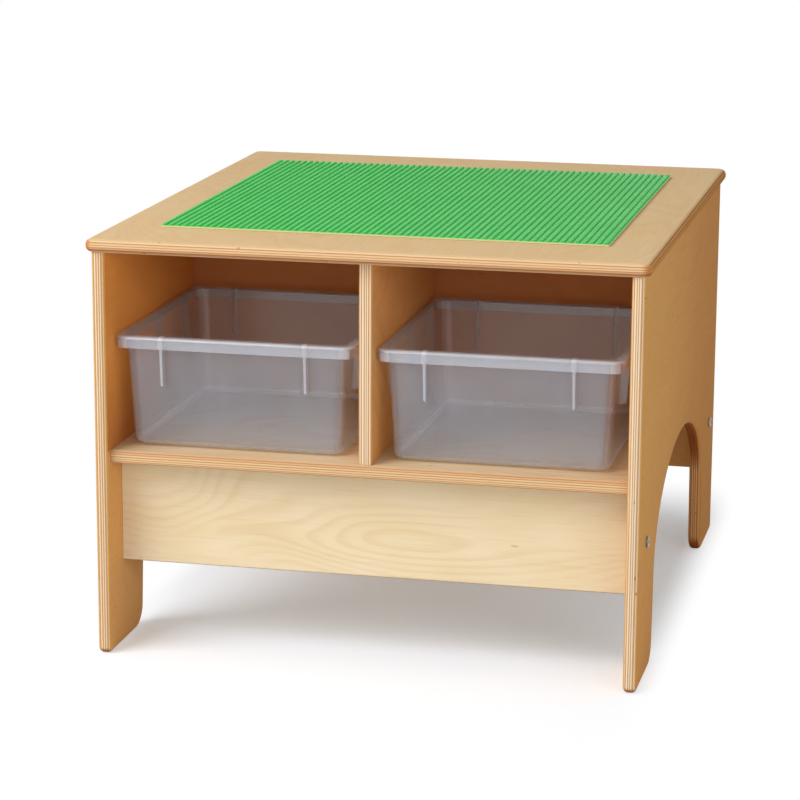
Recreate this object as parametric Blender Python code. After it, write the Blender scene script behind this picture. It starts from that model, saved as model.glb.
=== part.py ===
"""Building block table for a classroom.

A birch plywood table whose top carries a studded brick plate. Under the top are two
compartments at the front and two at the back, and each holds a plastic tub that slides out.

Lengths are in metres. The origin is on the floor under the middle of the table, +X is to
the right of a child who sits at the front, +Y runs to the back and +Z is up.
"""

import math

import bmesh
import bpy
from mathutils import Matrix, Vector

MM = 0.001
GAP = 0.3 * MM  # between pieces that touch
OVERCUT = 1 * MM  # how far a cutter runs past the faces that it cuts
WELD = 0.001 * MM
SHARP_ANGLE = math.radians(35)

# Plywood boards
PLY = 15 * MM
BASE_WIDTH = 618 * MM
BASE_DEPTH = 694 * MM
BASE_HEIGHT = 465 * MM
PANEL_ROUND = 5.5 * MM
PANEL_ROUND_STEPS = 3
BOARD_EASE = 2 * MM
BOARD_EASE_STEPS = 2

# Table top
TOP_OVERHANG = 6.5 * MM
TOP_NOSE = 7 * MM
TOP_NOSE_STEPS = 4
TOP_CORNER = 12 * MM
TOP_CORNER_STEPS = 5

# Brick plate
STUD_PITCH = 8 * MM
STUDS_ACROSS = 64
STUD_DIAMETER = 4.8 * MM
STUD_HEIGHT = 1.8 * MM
PLATE_BASE = 2 * MM
PLATE_CORNER = 2 * MM
PLATE_CORNER_STEPS = 2

# Legs and the arch between them
LEG_AT_FLOOR = 123.5 * MM
LEG_AT_SPRING = 131 * MM
ARCH_SPRING = 98 * MM
ARCH_RISE = 115 * MM
ARCH_STEPS = 16
FOOT_INNER_ROUND = 27 * MM
FOOT_INNER_STEPS = 5
FOOT_OUTER_ROUND = 8 * MM
FOOT_OUTER_STEPS = 3

# Shelf, partition, dividers and aprons
SHELF_TOP = 237 * MM
SHELF_SETBACK = 12.7 * MM
PARTITION = 6 * MM
PARTITION_GROOVE = 5 * MM
DIVIDER_SETBACK = 15 * MM
APRON_SETBACK = 51 * MM
APRON_BOTTOM = 98 * MM

# Dowels
DOWEL_DIAMETER = 8 * MM
DOWEL_LENGTH = 30 * MM
DOWEL_CHAMFER = 1 * MM
DOWEL_IN_FACE = 10 * MM
DOWEL_SIDES = 10
PANEL_DOWEL_ROWS = (-290 * MM, -105 * MM, 105 * MM, 290 * MM)
DIVIDER_DOWEL_ROWS = (70 * MM, 275 * MM)
APRON_DOWEL_OFFSET = 40 * MM

# Connector bolts and the barrel nuts that they screw into
BOLT_HEIGHT = 158 * MM
BOLT_SHANK = 6 * MM
BOLT_LENGTH = 50 * MM
BOLT_POINT = 0.8 * MM
BOLT_HEAD = 13 * MM
BOLT_HEAD_THICK = 2.6 * MM
BOLT_HEAD_EDGE = 1.3 * MM
BOLT_HEAD_FLAT = 8 * MM
BOLT_CROWN_STEPS = 2
BOLT_SIDES = 20
BOLT_SOCKET = 4 * MM
BOLT_SOCKET_DEPTH = 1.8 * MM
HEX_SIDES = 6
BORE_SIDES = 12
BORE_CHAMFER = 0.1 * MM
NUT_DIAMETER = 10 * MM
NUT_LENGTH = 11.5 * MM
NUT_CHAMFER = 0.5 * MM
NUT_SIDES = 16
NUT_INSET = 22 * MM
NUT_RECESS = 1 * MM
NUT_SLOT = 1.2 * MM

# Tubs
TUB_WIDTH = 277 * MM
TUB_DEPTH = 310 * MM
TUB_HEIGHT = 129 * MM
TUB_WALL = 2 * MM
TUB_FRONT = 24.5 * MM  # from the front of the side panels to the rim
TUB_LIP = 13.5 * MM
TUB_RIM = 10 * MM
TUB_DRAFT = 6 * MM
TUB_ROUND = 10 * MM
TUB_ROUND_STEPS = 3
TUB_ASIDE = -4 * MM  # each tub stands nearer to the wall on its left
RIM_ROUND = 4 * MM
RIM_ROUND_STEPS = 3
RIM_CORNER = 16 * MM
WALL_CORNER = 14 * MM
CORNER_STEPS = 4
RIB_WIDTH = 3.6 * MM
RIB_TOE_WIDTH = 2.5 * MM
RIB_LENGTH = 58 * MM
RIB_INSET = 1 * MM  # from the rim's outer edge to the rib's
RIB_TOE_INSET = 4.5 * MM
RIB_TOE = 3 * MM
RIBS_ON_FRONT = (-83 * MM, 83 * MM)
RIBS_ON_SIDE = (-104 * MM, 0.0, 104 * MM)

# Worked out from the sizes above
PANEL_FACE = BASE_WIDTH / 2 - PLY
FRONT = -BASE_DEPTH / 2
PANEL_TOP = BASE_HEIGHT - GAP
SHELF_BOTTOM = SHELF_TOP - PLY
APRON_MIDDLE = FRONT + APRON_SETBACK + PLY / 2

# Each finish is a name, a colour, a roughness and a metallic value
BIRCH = ("birch_plywood", (0.80, 0.62, 0.38), 0.38, 0.0)
BEECH = ("beech_dowel", (0.72, 0.52, 0.32), 0.6, 0.0)
GREEN = ("green_plate", (0.05, 0.46, 0.10), 0.35, 0.0)
NICKEL = ("nickel_steel", (0.70, 0.68, 0.65), 0.3, 1.0)
CLEAR = ("clear_plastic", (0.80, 0.82, 0.84), 0.3, 0.0)


def clear_scene():
    for old in list(bpy.data.objects):
        bpy.data.objects.remove(old)


def material(finish):
    """One Principled material for each finish, made the first time that it is asked for."""
    name, colour, roughness, metallic = finish
    made = bpy.data.materials.get(name)
    if made is None:
        made = bpy.data.materials.new(name)
        made.use_nodes = True
        shader = made.node_tree.nodes["Principled BSDF"]
        shader.inputs["Base Color"].default_value = (*colour, 1.0)
        shader.inputs["Roughness"].default_value = roughness
        shader.inputs["Metallic"].default_value = metallic
    return made


def place(name, bm, finish, origin=(0, 0, 0)):
    """Turn a bmesh into a named object whose origin is at the given point."""
    bmesh.ops.translate(bm, verts=bm.verts, vec=-Vector(origin))
    bmesh.ops.recalc_face_normals(bm, faces=bm.faces)
    mesh = bpy.data.meshes.new(name)
    bm.to_mesh(mesh)
    bm.free()
    mesh.materials.append(material(finish))
    mesh.shade_smooth()
    mesh.set_sharp_from_angle(angle=SHARP_ANGLE)
    made = bpy.data.objects.new(name, mesh)
    made.location = origin
    bpy.context.collection.objects.link(made)
    return made


def boolean(target, tool, operation):
    """Cut the tool from the target or join it on, and leave the tool out of the build."""
    step = target.modifiers.new(tool.name, "BOOLEAN")
    step.object = tool
    step.operation = operation
    step.solver = "EXACT"
    tool.hide_render = True
    tool.display_type = "WIRE"


def quarter_turn(steps):
    """Angles from nothing to a right angle, in equal steps."""
    return [math.pi / 2 * step / steps for step in range(steps + 1)]


def fillet(before, corner, after, radius, steps):
    """Points of an arc that rounds the corner of an outline."""
    before, corner, after = Vector(before), Vector(corner), Vector(after)
    back = (before - corner).normalized()
    ahead = (after - corner).normalized()
    half = back.angle(ahead) / 2
    middle = corner + (back + ahead).normalized() * (radius / math.sin(half))
    start = (corner + back * (radius / math.tan(half)) - middle).normalized()
    end = (corner + ahead * (radius / math.tan(half)) - middle).normalized()
    points = []
    for step in range(steps + 1):
        points.append(middle + radius * start.slerp(end, step / steps))
    return points


def rounded_rectangle(half_x, half_y, radius, steps):
    corners = [(half_x, half_y), (-half_x, half_y), (-half_x, -half_y), (half_x, -half_y)]
    points = []
    for index, corner in enumerate(corners):
        before = corners[index - 1]
        after = corners[(index + 1) % len(corners)]
        points += fillet(before, corner, after, radius, steps)
    return points


def prism(outline, axis, low, high):
    """A closed solid: a flat outline drawn square to one axis and extruded along it."""
    order = {"X": (2, 0, 1), "Y": (0, 2, 1), "Z": (0, 1, 2)}[axis]
    bm = bmesh.new()
    verts = []
    for first, second in outline:
        flat = (first, second, low)
        verts.append(bm.verts.new([flat[index] for index in order]))
    face = bm.faces.new(verts)
    grown = bmesh.ops.extrude_face_region(bm, geom=[face])
    top = [item for item in grown["geom"] if isinstance(item, bmesh.types.BMVert)]
    along = {"X": (1, 0, 0), "Y": (0, 1, 0), "Z": (0, 0, 1)}[axis]
    bmesh.ops.translate(bm, verts=top, vec=Vector(along) * (high - low))
    return bm


def box(low, high):
    bm = bmesh.new()
    bmesh.ops.create_cube(bm, size=1)
    size = Vector(high) - Vector(low)
    bmesh.ops.scale(bm, vec=size, verts=bm.verts)
    bmesh.ops.translate(bm, vec=Vector(low) + size / 2, verts=bm.verts)
    return bm


def runs_along(direction, axis):
    """Whether a direction lies nearer to the axis than to the plane square to it."""
    return abs(direction["XYZ".index(axis)]) > math.sqrt(0.5)


def round_edges(bm, radius, steps, wanted):
    """Round over each edge for which wanted(middle, direction) is true."""
    chosen = []
    for edge in bm.edges:
        first, second = edge.verts
        middle = (first.co + second.co) / 2
        direction = (second.co - first.co).normalized()
        if wanted(middle, direction):
            chosen.append(edge)
    bmesh.ops.bevel(
        bm, geom=chosen, offset=radius, segments=steps, profile=0.5, affect="EDGES",
        clamp_overlap=True,
    )


def turned(profile, origin, axis, sides):
    """A solid of revolution. The profile lists (radius, distance along the axis)."""
    bm = bmesh.new()
    verts = [bm.verts.new((radius, 0, along)) for radius, along in profile]
    edges = [bm.edges.new(pair) for pair in zip(verts, verts[1:])]
    bmesh.ops.spin(
        bm, geom=verts + edges, cent=(0, 0, 0), axis=(0, 0, 1), angle=math.tau,
        steps=sides, use_merge=True,
    )
    bmesh.ops.remove_doubles(bm, verts=bm.verts, dist=WELD)
    turn = Vector(axis).to_track_quat("Z", "Y").to_matrix().to_4x4()
    bmesh.ops.transform(bm, matrix=Matrix.Translation(origin) @ turn, verts=bm.verts)
    return bm


def gather(parts):
    """Put separate solids together in one bmesh."""
    whole = bmesh.new()
    for part in parts:
        mesh = bpy.data.meshes.new("part")
        part.to_mesh(mesh)
        part.free()
        whole.from_mesh(mesh)
        bpy.data.meshes.remove(mesh)
    return whole


def rod_profile(radius, length, chamfer):
    half = length / 2
    return [
        (0, -half), (radius - chamfer, -half), (radius, chamfer - half),
        (radius, half - chamfer), (radius - chamfer, half), (0, half),
    ]


def dowels(name, spots, axis, boards):
    """Wood dowels at the spots, each in a blind hole that is drilled in the boards."""
    profile = rod_profile(DOWEL_DIAMETER / 2, DOWEL_LENGTH, DOWEL_CHAMFER)
    for number, spot in enumerate(spots, start=1):
        place(f"{name}_{number}", turned(profile, spot, axis, DOWEL_SIDES), BEECH, spot)
    bore = rod_profile(DOWEL_DIAMETER / 2 + GAP, DOWEL_LENGTH + 2 * GAP, DOWEL_CHAMFER)
    holes = [turned(bore, spot, axis, DOWEL_SIDES) for spot in spots]
    tool = place(name + "_holes", gather(holes), BEECH)
    for board in boards:
        boolean(board, tool, "DIFFERENCE")


def table_top():
    """Solid top with a full bullnose on all four edges."""
    half_x = BASE_WIDTH / 2 + TOP_OVERHANG
    half_y = BASE_DEPTH / 2 + TOP_OVERHANG
    outline = rounded_rectangle(half_x, half_y, TOP_CORNER, TOP_CORNER_STEPS)
    bm = prism(outline, "Z", BASE_HEIGHT, BASE_HEIGHT + PLY)

    def around_a_face(middle, direction):
        return not runs_along(direction, "Z")

    round_edges(bm, TOP_NOSE, TOP_NOSE_STEPS, around_a_face)
    return place("table_top", bm, BIRCH)


def brick_plate():
    """Base sheet with a ridge along each row of studs, as wide and as high as they are."""
    half = STUDS_ACROSS * STUD_PITCH / 2
    under = BASE_HEIGHT + PLY + GAP
    face = under + PLATE_BASE
    outline = rounded_rectangle(half, half, PLATE_CORNER, PLATE_CORNER_STEPS)
    sheet = place("brick_plate", prism(outline, "Z", under, face), GREEN)
    end = half - (STUD_PITCH - STUD_DIAMETER) / 2
    ridges = []
    for row in range(STUDS_ACROSS):
        x = (row + 0.5) * STUD_PITCH - half
        low = (x - STUD_DIAMETER / 2, -end, face - PLATE_BASE / 2)
        high = (x + STUD_DIAMETER / 2, end, face + STUD_HEIGHT)
        ridges.append(box(low, high))
    boolean(sheet, place("stud_rows", gather(ridges), GREEN), "UNION")


def side_outline():
    """Outline of a side panel, looking along X: two tapered legs with an arch between."""
    foot_inner = FRONT + LEG_AT_FLOOR
    spring = FRONT + LEG_AT_SPRING
    front_half = [Vector((FRONT, PANEL_TOP))]
    front_half += fillet(
        (FRONT, PANEL_TOP), (FRONT, 0), (foot_inner, 0), FOOT_OUTER_ROUND, FOOT_OUTER_STEPS
    )
    front_half += fillet(
        (FRONT, 0), (foot_inner, 0), (spring, ARCH_SPRING), FOOT_INNER_ROUND, FOOT_INNER_STEPS
    )
    for angle in quarter_turn(ARCH_STEPS)[:-1]:
        height = ARCH_SPRING + ARCH_RISE * math.sin(angle)
        front_half.append(Vector((spring * math.cos(angle), height)))
    crown = [Vector((0, ARCH_SPRING + ARCH_RISE))]
    back_half = [Vector((-point.x, point.y)) for point in reversed(front_half)]
    return front_half + crown + back_half


def side_panel(name, side):
    """Side panel whose edges are rounded all round, except under the top."""
    faces = sorted((side * PANEL_FACE, side * (PANEL_FACE + PLY)))
    bm = prism(side_outline(), "X", *faces)

    def below_the_top(middle, direction):
        return not runs_along(direction, "X") and middle.z < PANEL_TOP - WELD

    round_edges(bm, PANEL_ROUND, PANEL_ROUND_STEPS, below_the_top)
    panel = place(name, bm, BIRCH)
    sides = sorted((side * (PANEL_FACE - OVERCUT), side * (PANEL_FACE + PARTITION_GROOVE)))
    half = PARTITION / 2 + GAP
    low = (sides[0], -half, SHELF_TOP)
    high = (sides[1], half, PANEL_TOP + OVERCUT)
    groove = place(name + "_groove", box(low, high), BIRCH)
    boolean(panel, groove, "DIFFERENCE")
    return panel


def shelf():
    """Full-depth shelf that the tubs stand on."""
    half_x = PANEL_FACE - GAP
    half_y = BASE_DEPTH / 2 - SHELF_SETBACK
    bm = box((-half_x, -half_y, SHELF_BOTTOM), (half_x, half_y, SHELF_TOP))

    def along_front_or_back(middle, direction):
        return runs_along(direction, "X")

    round_edges(bm, BOARD_EASE, BOARD_EASE_STEPS, along_front_or_back)
    return place("shelf", bm, BIRCH)


def centre_partition():
    """Thin panel between the front and back compartments, let into the side panels."""
    half_x = PANEL_FACE + PARTITION_GROOVE - GAP
    low = (-half_x, -PARTITION / 2, SHELF_TOP + GAP)
    high = (half_x, PARTITION / 2, PANEL_TOP)
    place("centre_partition", box(low, high), BIRCH)


def divider(name, side):
    """Upright between two compartments. The side is -1 at the front and 1 at the back."""
    face = side * (BASE_DEPTH / 2 - DIVIDER_SETBACK)
    inner = side * (PARTITION / 2 + GAP)
    low = (-PLY / 2, min(face, inner), SHELF_TOP + GAP)
    high = (PLY / 2, max(face, inner), PANEL_TOP)
    bm = box(low, high)

    def up_the_open_edge(middle, direction):
        return runs_along(direction, "Z") and abs(middle.y) > PARTITION

    round_edges(bm, BOARD_EASE, BOARD_EASE_STEPS, up_the_open_edge)
    return place(name, bm, BIRCH)


def apron(name, side):
    """Rail under the shelf that braces the legs."""
    half_x = PANEL_FACE - GAP
    low = (-half_x, side * -APRON_MIDDLE - PLY / 2, APRON_BOTTOM)
    high = (half_x, side * -APRON_MIDDLE + PLY / 2, SHELF_BOTTOM - GAP)
    bm = box(low, high)

    def along_the_bottom(middle, direction):
        return runs_along(direction, "X") and middle.z < APRON_BOTTOM + WELD

    round_edges(bm, BOARD_EASE, BOARD_EASE_STEPS, along_the_bottom)
    return place(name, bm, BIRCH)


def bolt_ends():
    """Name, side and y of the bolt at each end of both aprons."""
    ends = []
    for end, y in (("front", APRON_MIDDLE), ("rear", -APRON_MIDDLE)):
        for hand, side in (("left", -1), ("right", 1)):
            ends.append((f"{end}_{hand}", side, y))
    return ends


def bolt_profile():
    """Half section of a connector bolt, from its point to the crown of its head."""
    head = BOLT_HEAD / 2
    shank = BOLT_SHANK / 2
    flat = BOLT_HEAD_FLAT / 2
    profile = [
        (0, -BOLT_LENGTH), (shank - BOLT_POINT, -BOLT_LENGTH),
        (shank, BOLT_POINT - BOLT_LENGTH), (shank, 0), (head, 0),
    ]
    for angle in quarter_turn(BOLT_CROWN_STEPS):
        radius = flat + (head - flat) * math.cos(angle)
        height = BOLT_HEAD_EDGE + (BOLT_HEAD_THICK - BOLT_HEAD_EDGE) * math.sin(angle)
        profile.append((radius, height))
    profile.append((0, BOLT_HEAD_THICK))
    return profile


def connector_bolts(boards):
    """Flat-headed connector bolts, through the side panels and into the aprons."""
    corner_radius = BOLT_SOCKET / 2 / math.cos(math.pi / HEX_SIDES)
    socket = rod_profile(corner_radius, 2 * BOLT_SOCKET_DEPTH, BORE_CHAMFER)
    bore = rod_profile(BOLT_SHANK / 2 + GAP, 2 * (BOLT_LENGTH + OVERCUT), BORE_CHAMFER)
    bolts, sockets, bores = [], [], []
    for end, side, y in bolt_ends():
        outward = Vector((side, 0, 0))
        seat = Vector((side * (BASE_WIDTH / 2 + GAP), y, BOLT_HEIGHT))
        bolt = turned(bolt_profile(), seat, outward, BOLT_SIDES)
        bolts.append(place("connector_bolt_" + end, bolt, NICKEL, seat))
        sockets.append(turned(socket, seat + outward * BOLT_HEAD_THICK, outward, HEX_SIDES))
        bores.append(turned(bore, seat, outward, BORE_SIDES))
    socket_tool = place("bolt_sockets", gather(sockets), NICKEL)
    for bolt in bolts:
        boolean(bolt, socket_tool, "DIFFERENCE")
    bore_tool = place("bolt_holes", gather(bores), NICKEL)
    for board in boards:
        boolean(board, bore_tool, "DIFFERENCE")
    return bore_tool


def barrel_nuts(aprons, bolt_holes):
    """Steel cross dowels that the bolts screw into, set in the hidden face of each apron."""
    pocket_depth = NUT_LENGTH + NUT_RECESS + GAP
    profile = rod_profile(NUT_DIAMETER / 2, NUT_LENGTH, NUT_CHAMFER)
    pocket = rod_profile(NUT_DIAMETER / 2 + GAP, 2 * pocket_depth, NUT_CHAMFER)
    nuts, pockets, slots = [], [], []
    for end, side, y in bolt_ends():
        inward = Vector((0, -1 if y > 0 else 1, 0))
        mouth = Vector((side * (PANEL_FACE - NUT_INSET), y, BOLT_HEIGHT)) + inward * PLY / 2
        face = mouth - inward * NUT_RECESS
        middle = face - inward * NUT_LENGTH / 2
        nut = turned(profile, middle, inward, NUT_SIDES)
        nuts.append(place("barrel_nut_" + end, nut, NICKEL, middle))
        pockets.append(turned(pocket, mouth, inward, NUT_SIDES))
        reach = Vector((NUT_DIAMETER, NUT_SLOT, NUT_SLOT)) / 2
        slots.append(box(face - reach, face + reach))
    slot_tool = place("nut_slots", gather(slots), NICKEL)
    for nut in nuts:
        boolean(nut, bolt_holes, "DIFFERENCE")
        boolean(nut, slot_tool, "DIFFERENCE")
    pocket_tool = place("nut_pockets", gather(pockets), NICKEL)
    for board in aprons:
        boolean(board, pocket_tool, "DIFFERENCE")


def tub_sections():
    """Rings of the tub from its underside, up the wall, over the rim and down to its floor.

    Each is (inset from the rim's outer edge, height, corner radius in plan).
    """
    foot = TUB_RIM + TUB_DRAFT
    rim_under = TUB_HEIGHT - TUB_WALL
    lip_end = TUB_HEIGHT - TUB_LIP
    inner_round = TUB_ROUND - TUB_WALL
    under_round = RIM_ROUND - TUB_WALL
    outside, under_edge, edge, inside = [], [], [], []
    for angle in quarter_turn(TUB_ROUND_STEPS):
        pull = 1 - math.sin(angle)
        rise = 1 - math.cos(angle)
        corner = WALL_CORNER - TUB_ROUND * pull / 2
        outside.append((foot + TUB_ROUND * pull, TUB_ROUND * rise, corner))
        corner = WALL_CORNER - TUB_WALL - inner_round * pull / 2
        inside.append(
            (foot + TUB_WALL + inner_round * pull, TUB_WALL + inner_round * rise, corner)
        )
    for angle in quarter_turn(RIM_ROUND_STEPS):
        pull = 1 - math.cos(angle)
        drop = 1 - math.sin(angle)
        inset = RIM_ROUND * pull
        edge.append((inset, TUB_HEIGHT - RIM_ROUND * drop, RIM_CORNER - inset))
        inset = TUB_WALL + under_round * pull
        under_edge.append((inset, rim_under - under_round * drop, RIM_CORNER - inset))
    under_rim = [(TUB_RIM, rim_under, WALL_CORNER)] + under_edge[::-1]
    lip = [(TUB_WALL, lip_end, RIM_CORNER - TUB_WALL), (0, lip_end, RIM_CORNER)]
    over_rim = [
        (TUB_RIM, TUB_HEIGHT, WALL_CORNER),
        (TUB_RIM + TUB_WALL, rim_under, WALL_CORNER - TUB_WALL),
    ]
    return outside + under_rim + lip + edge + over_rim + inside[::-1]


def loft(rings):
    """Skin a stack of rings that have the same number of points, with a cap at each end."""
    bm = bmesh.new()
    loops = [[bm.verts.new(point) for point in ring] for ring in rings]
    for lower, upper in zip(loops, loops[1:]):
        for index in range(len(lower)):
            after = (index + 1) % len(lower)
            bm.faces.new((lower[index], lower[after], upper[after], upper[index]))
    bm.faces.new(loops[0])
    bm.faces.new(loops[-1])
    return bm


def tub_ribs():
    """Fins that stiffen the rim, from its lip back to the wall, narrower towards their toes."""
    slope = TUB_DRAFT / (TUB_HEIGHT - TUB_WALL - TUB_ROUND)
    top = TUB_HEIGHT - TUB_WALL / 2
    toe = top - RIB_LENGTH
    top_inset = TUB_RIM + TUB_WALL / 2
    toe_inset = top_inset + slope * RIB_LENGTH
    taper = 1 - RIB_TOE_WIDTH / RIB_WIDTH
    outline = [
        (top_inset, top), (RIM_ROUND, top), (RIB_INSET, TUB_HEIGHT - RIM_ROUND),
        (RIB_TOE_INSET, toe + RIB_TOE), (toe_inset, toe),
    ]
    spots = []
    for across in RIBS_ON_FRONT:
        spots += [(TUB_DEPTH / 2, 0, across), (TUB_DEPTH / 2, 180, across)]
    for along in RIBS_ON_SIDE:
        spots += [(TUB_WIDTH / 2, 90, along), (TUB_WIDTH / 2, 270, along)]
    ribs = []
    for reach, degrees, offset in spots:
        points = [(inset - reach, height) for inset, height in outline]
        rib = prism(points, "X", -RIB_WIDTH / 2, RIB_WIDTH / 2)
        for vert in rib.verts:
            vert.co.x *= 1 - taper * (top - vert.co.z) / RIB_LENGTH
        turn = Matrix.Rotation(math.radians(degrees), 4, "Z")
        move = turn @ Matrix.Translation((offset, 0, 0))
        bmesh.ops.transform(rib, matrix=move, verts=rib.verts)
        bmesh.ops.recalc_face_normals(rib, faces=rib.faces)
        ribs.append(rib)
    return gather(ribs)


def tub(name, side_x, side_y):
    """Translucent storage tub, with its origin under its middle on the shelf."""
    rings = []
    for inset, height, corner in tub_sections():
        half_x = TUB_WIDTH / 2 - inset
        half_y = TUB_DEPTH / 2 - inset
        flat = rounded_rectangle(half_x, half_y, corner, CORNER_STEPS)
        rings.append([(point.x, point.y, height) for point in flat])
    middle_x = side_x * (PANEL_FACE + PLY / 2) / 2 + TUB_ASIDE
    middle_y = side_y * (BASE_DEPTH / 2 - TUB_FRONT - TUB_DEPTH / 2)
    origin = Vector((middle_x, middle_y, SHELF_TOP + GAP))
    shell = place(name, loft(rings), CLEAR)
    ribs = place(name + "_ribs", tub_ribs(), CLEAR)
    for piece in (shell, ribs):
        piece.location = origin
    boolean(shell, ribs, "UNION")


def tubs():
    for end, side_y in (("front", -1), ("rear", 1)):
        for hand, side_x in (("left", -1), ("right", 1)):
            tub(f"tub_{end}_{hand}", side_x, side_y)


def carcass():
    """Glue up the boards with their dowels and bolt the aprons between the side panels."""
    top = table_top()
    left = side_panel("side_panel_left", -1)
    right = side_panel("side_panel_right", 1)
    tub_shelf = shelf()
    centre_partition()
    dividers = [divider("divider_front", -1), divider("divider_rear", 1)]
    aprons = [apron("apron_front", -1), apron("apron_rear", 1)]

    into_end = DOWEL_LENGTH / 2 - DOWEL_IN_FACE
    joint_x = PANEL_FACE - into_end
    shelf_z = SHELF_TOP - PLY / 2
    shelf_spots = [(side * joint_x, y, shelf_z) for side in (-1, 1) for y in PANEL_DOWEL_ROWS]
    dowels("shelf_dowel", shelf_spots, (1, 0, 0), [left, right, tub_shelf])

    panel_x = PANEL_FACE + PLY / 2
    top_z = BASE_HEIGHT - into_end
    top_spots = [(side * panel_x, y, top_z) for side in (-1, 1) for y in PANEL_DOWEL_ROWS]
    dowels("top_dowel", top_spots, (0, 0, 1), [left, right, top])

    ends = (SHELF_TOP + into_end, top_z)
    rows = [side * y for side in (-1, 1) for y in DIVIDER_DOWEL_ROWS]
    divider_spots = [(0, y, z) for y in rows for z in ends]
    dowels("divider_dowel", divider_spots, (0, 0, 1), dividers + [tub_shelf, top])

    heights = (BOLT_HEIGHT - APRON_DOWEL_OFFSET, BOLT_HEIGHT + APRON_DOWEL_OFFSET)
    apron_spots = [(side * joint_x, y, z) for _, side, y in bolt_ends() for z in heights]
    dowels("apron_dowel", apron_spots, (1, 0, 0), [left, right] + aprons)

    bolt_holes = connector_bolts([left, right] + aprons)
    barrel_nuts(aprons, bolt_holes)


def main():
    clear_scene()
    carcass()
    brick_plate()
    tubs()


main()
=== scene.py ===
"""Visual model of a building block table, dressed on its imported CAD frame.

The table is clear-finished birch plywood with a studded green plate on its top and four
translucent tubs under it. Lengths are in metres, in the frame's own axes: +X to the right of
a child at the front, +Y to the back and +Z up, with the origin on the floor under the middle.
"""

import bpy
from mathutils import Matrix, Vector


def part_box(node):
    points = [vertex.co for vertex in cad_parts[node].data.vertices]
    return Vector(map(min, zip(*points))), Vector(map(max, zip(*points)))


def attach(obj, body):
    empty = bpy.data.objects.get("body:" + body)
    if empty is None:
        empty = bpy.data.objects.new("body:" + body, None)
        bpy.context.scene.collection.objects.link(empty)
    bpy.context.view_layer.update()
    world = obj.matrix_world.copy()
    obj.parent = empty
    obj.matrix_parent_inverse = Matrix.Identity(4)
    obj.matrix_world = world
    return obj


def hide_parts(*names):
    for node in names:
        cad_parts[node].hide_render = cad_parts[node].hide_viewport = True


bl_info = {
    "name": "Building Block Table",
    "version": (1, 0, 0),
    "blender": (4, 5, 0),
    "location": "3D View > Sidebar > Block Table",
    "description": "Models and finishes a classroom building block table around its CAD frame",
    "category": "Add Mesh",
}

import math
from random import Random
from typing import NamedTuple

import bmesh
import bpy
from bpy.props import FloatProperty, FloatVectorProperty, IntProperty, PointerProperty
from mathutils import Matrix, Vector

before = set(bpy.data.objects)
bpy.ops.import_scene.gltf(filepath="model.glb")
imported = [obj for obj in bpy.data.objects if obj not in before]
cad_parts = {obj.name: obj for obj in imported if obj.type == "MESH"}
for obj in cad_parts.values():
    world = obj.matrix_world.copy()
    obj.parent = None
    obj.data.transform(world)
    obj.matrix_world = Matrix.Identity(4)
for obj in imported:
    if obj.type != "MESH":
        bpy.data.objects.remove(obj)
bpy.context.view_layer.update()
BOX = {node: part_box(node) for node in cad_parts}

MM = 0.001
GAP = 0.3 * MM
OVERCUT = 1 * MM
WELD = 0.001 * MM
SHARP_ANGLE = math.radians(35)
WHITE = (1.0, 1.0, 1.0)
X, Y, Z = range(3)

# Main sizes of the table, read from the frame
PLY = BOX["shelf"][1].z - BOX["shelf"][0].z
PANEL_FACE = BOX["side_panel_right"][0].x
FRONT = BOX["side_panel_right"][0].y
PANEL_TOP = BOX["side_panel_right"][1].z
SHELF_TOP = BOX["shelf"][1].z
PARTITION = BOX["centre_partition"][1].y - BOX["centre_partition"][0].y
PLATE_LOW, PLATE_HIGH = BOX["brick_plate"]
TUB_LOW, TUB_HIGH = BOX["tub_front_left"]
TUB_SIZE = TUB_HIGH - TUB_LOW
TUBS = ("tub_front_left", "tub_front_right", "tub_rear_left", "tub_rear_right")
ENDS = ("front_left", "front_right", "rear_left", "rear_right")

# Steps in the rounds, and sides of the turned shapes
EASE_STEPS = 4
PLATE_EDGE_STEPS = 3
PLATE_CORNER_STEPS = 6
RIM_STEPS = 6
PANEL_STEPS = 6
NOSE_STEPS = 8
ROUND_STEPS = 8
FOOT_STEPS = 12
CORNER_STEPS = 10
ARCH_STEPS = 32
HEXAGON = 6
STUD_SIDES = 16
DOWEL_SIDES = 24
BORE_SIDES = 32
NUT_SIDES = 40
BOLT_SIDES = 48

# Chamfers
DOWEL_CHAMFER = 1 * MM
NUT_CHAMFER = 0.5 * MM
SOCKET_CHAMFER = 0.1 * MM

# Side panels: where their tints change, in metres. The tints paint shade to the rear and down
# at the shelf inside, and make the legs darker towards the bottom
LEG_TINT_END = 0.3
REAR_SHADE_START = -0.25
REAR_SHADE_END = 0.32
SHELF_SHADOW_HEIGHT = 0.12
ARCH_MARGIN = 15 * MM

# Patterns in the plywood: cells to the metre along and across the grain
FIBRE = (16, 620)
MOTTLE = (9, 22)
GROWTH = (2.1, 5.6)
FIGURE_PATCHES = (3.2, 8)
FLECKS = (26, 130)
POCKETS = (60, 60)
WANDER = (5, 5)

# Growth lines between the lowest and highest growth, and the share of cells with a fleck
RINGS = 30
FLECK_SHARE = 0.045

# Tints of the cloudy parts of the plastics and the plating
DEEP_GREEN_TINT = (0.72, 0.9, 0.78)
MILK_CLOUD = (0.6, 0.7, 0.9)
DULL_NICKEL = (0.7, 0.68, 0.64)

# Tubs: how far a face of the rim or a rib lies outside the wall, the strip beside each rib,
# the share of a rib's cover that shows through the rim, and how sharply the corners show
STAND_OUT = 0.4 * MM
RIB_MARGIN = 0.8 * MM
RIB_OVER_RIM = 0.6
CORNER_SHARPNESS = 12

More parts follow.
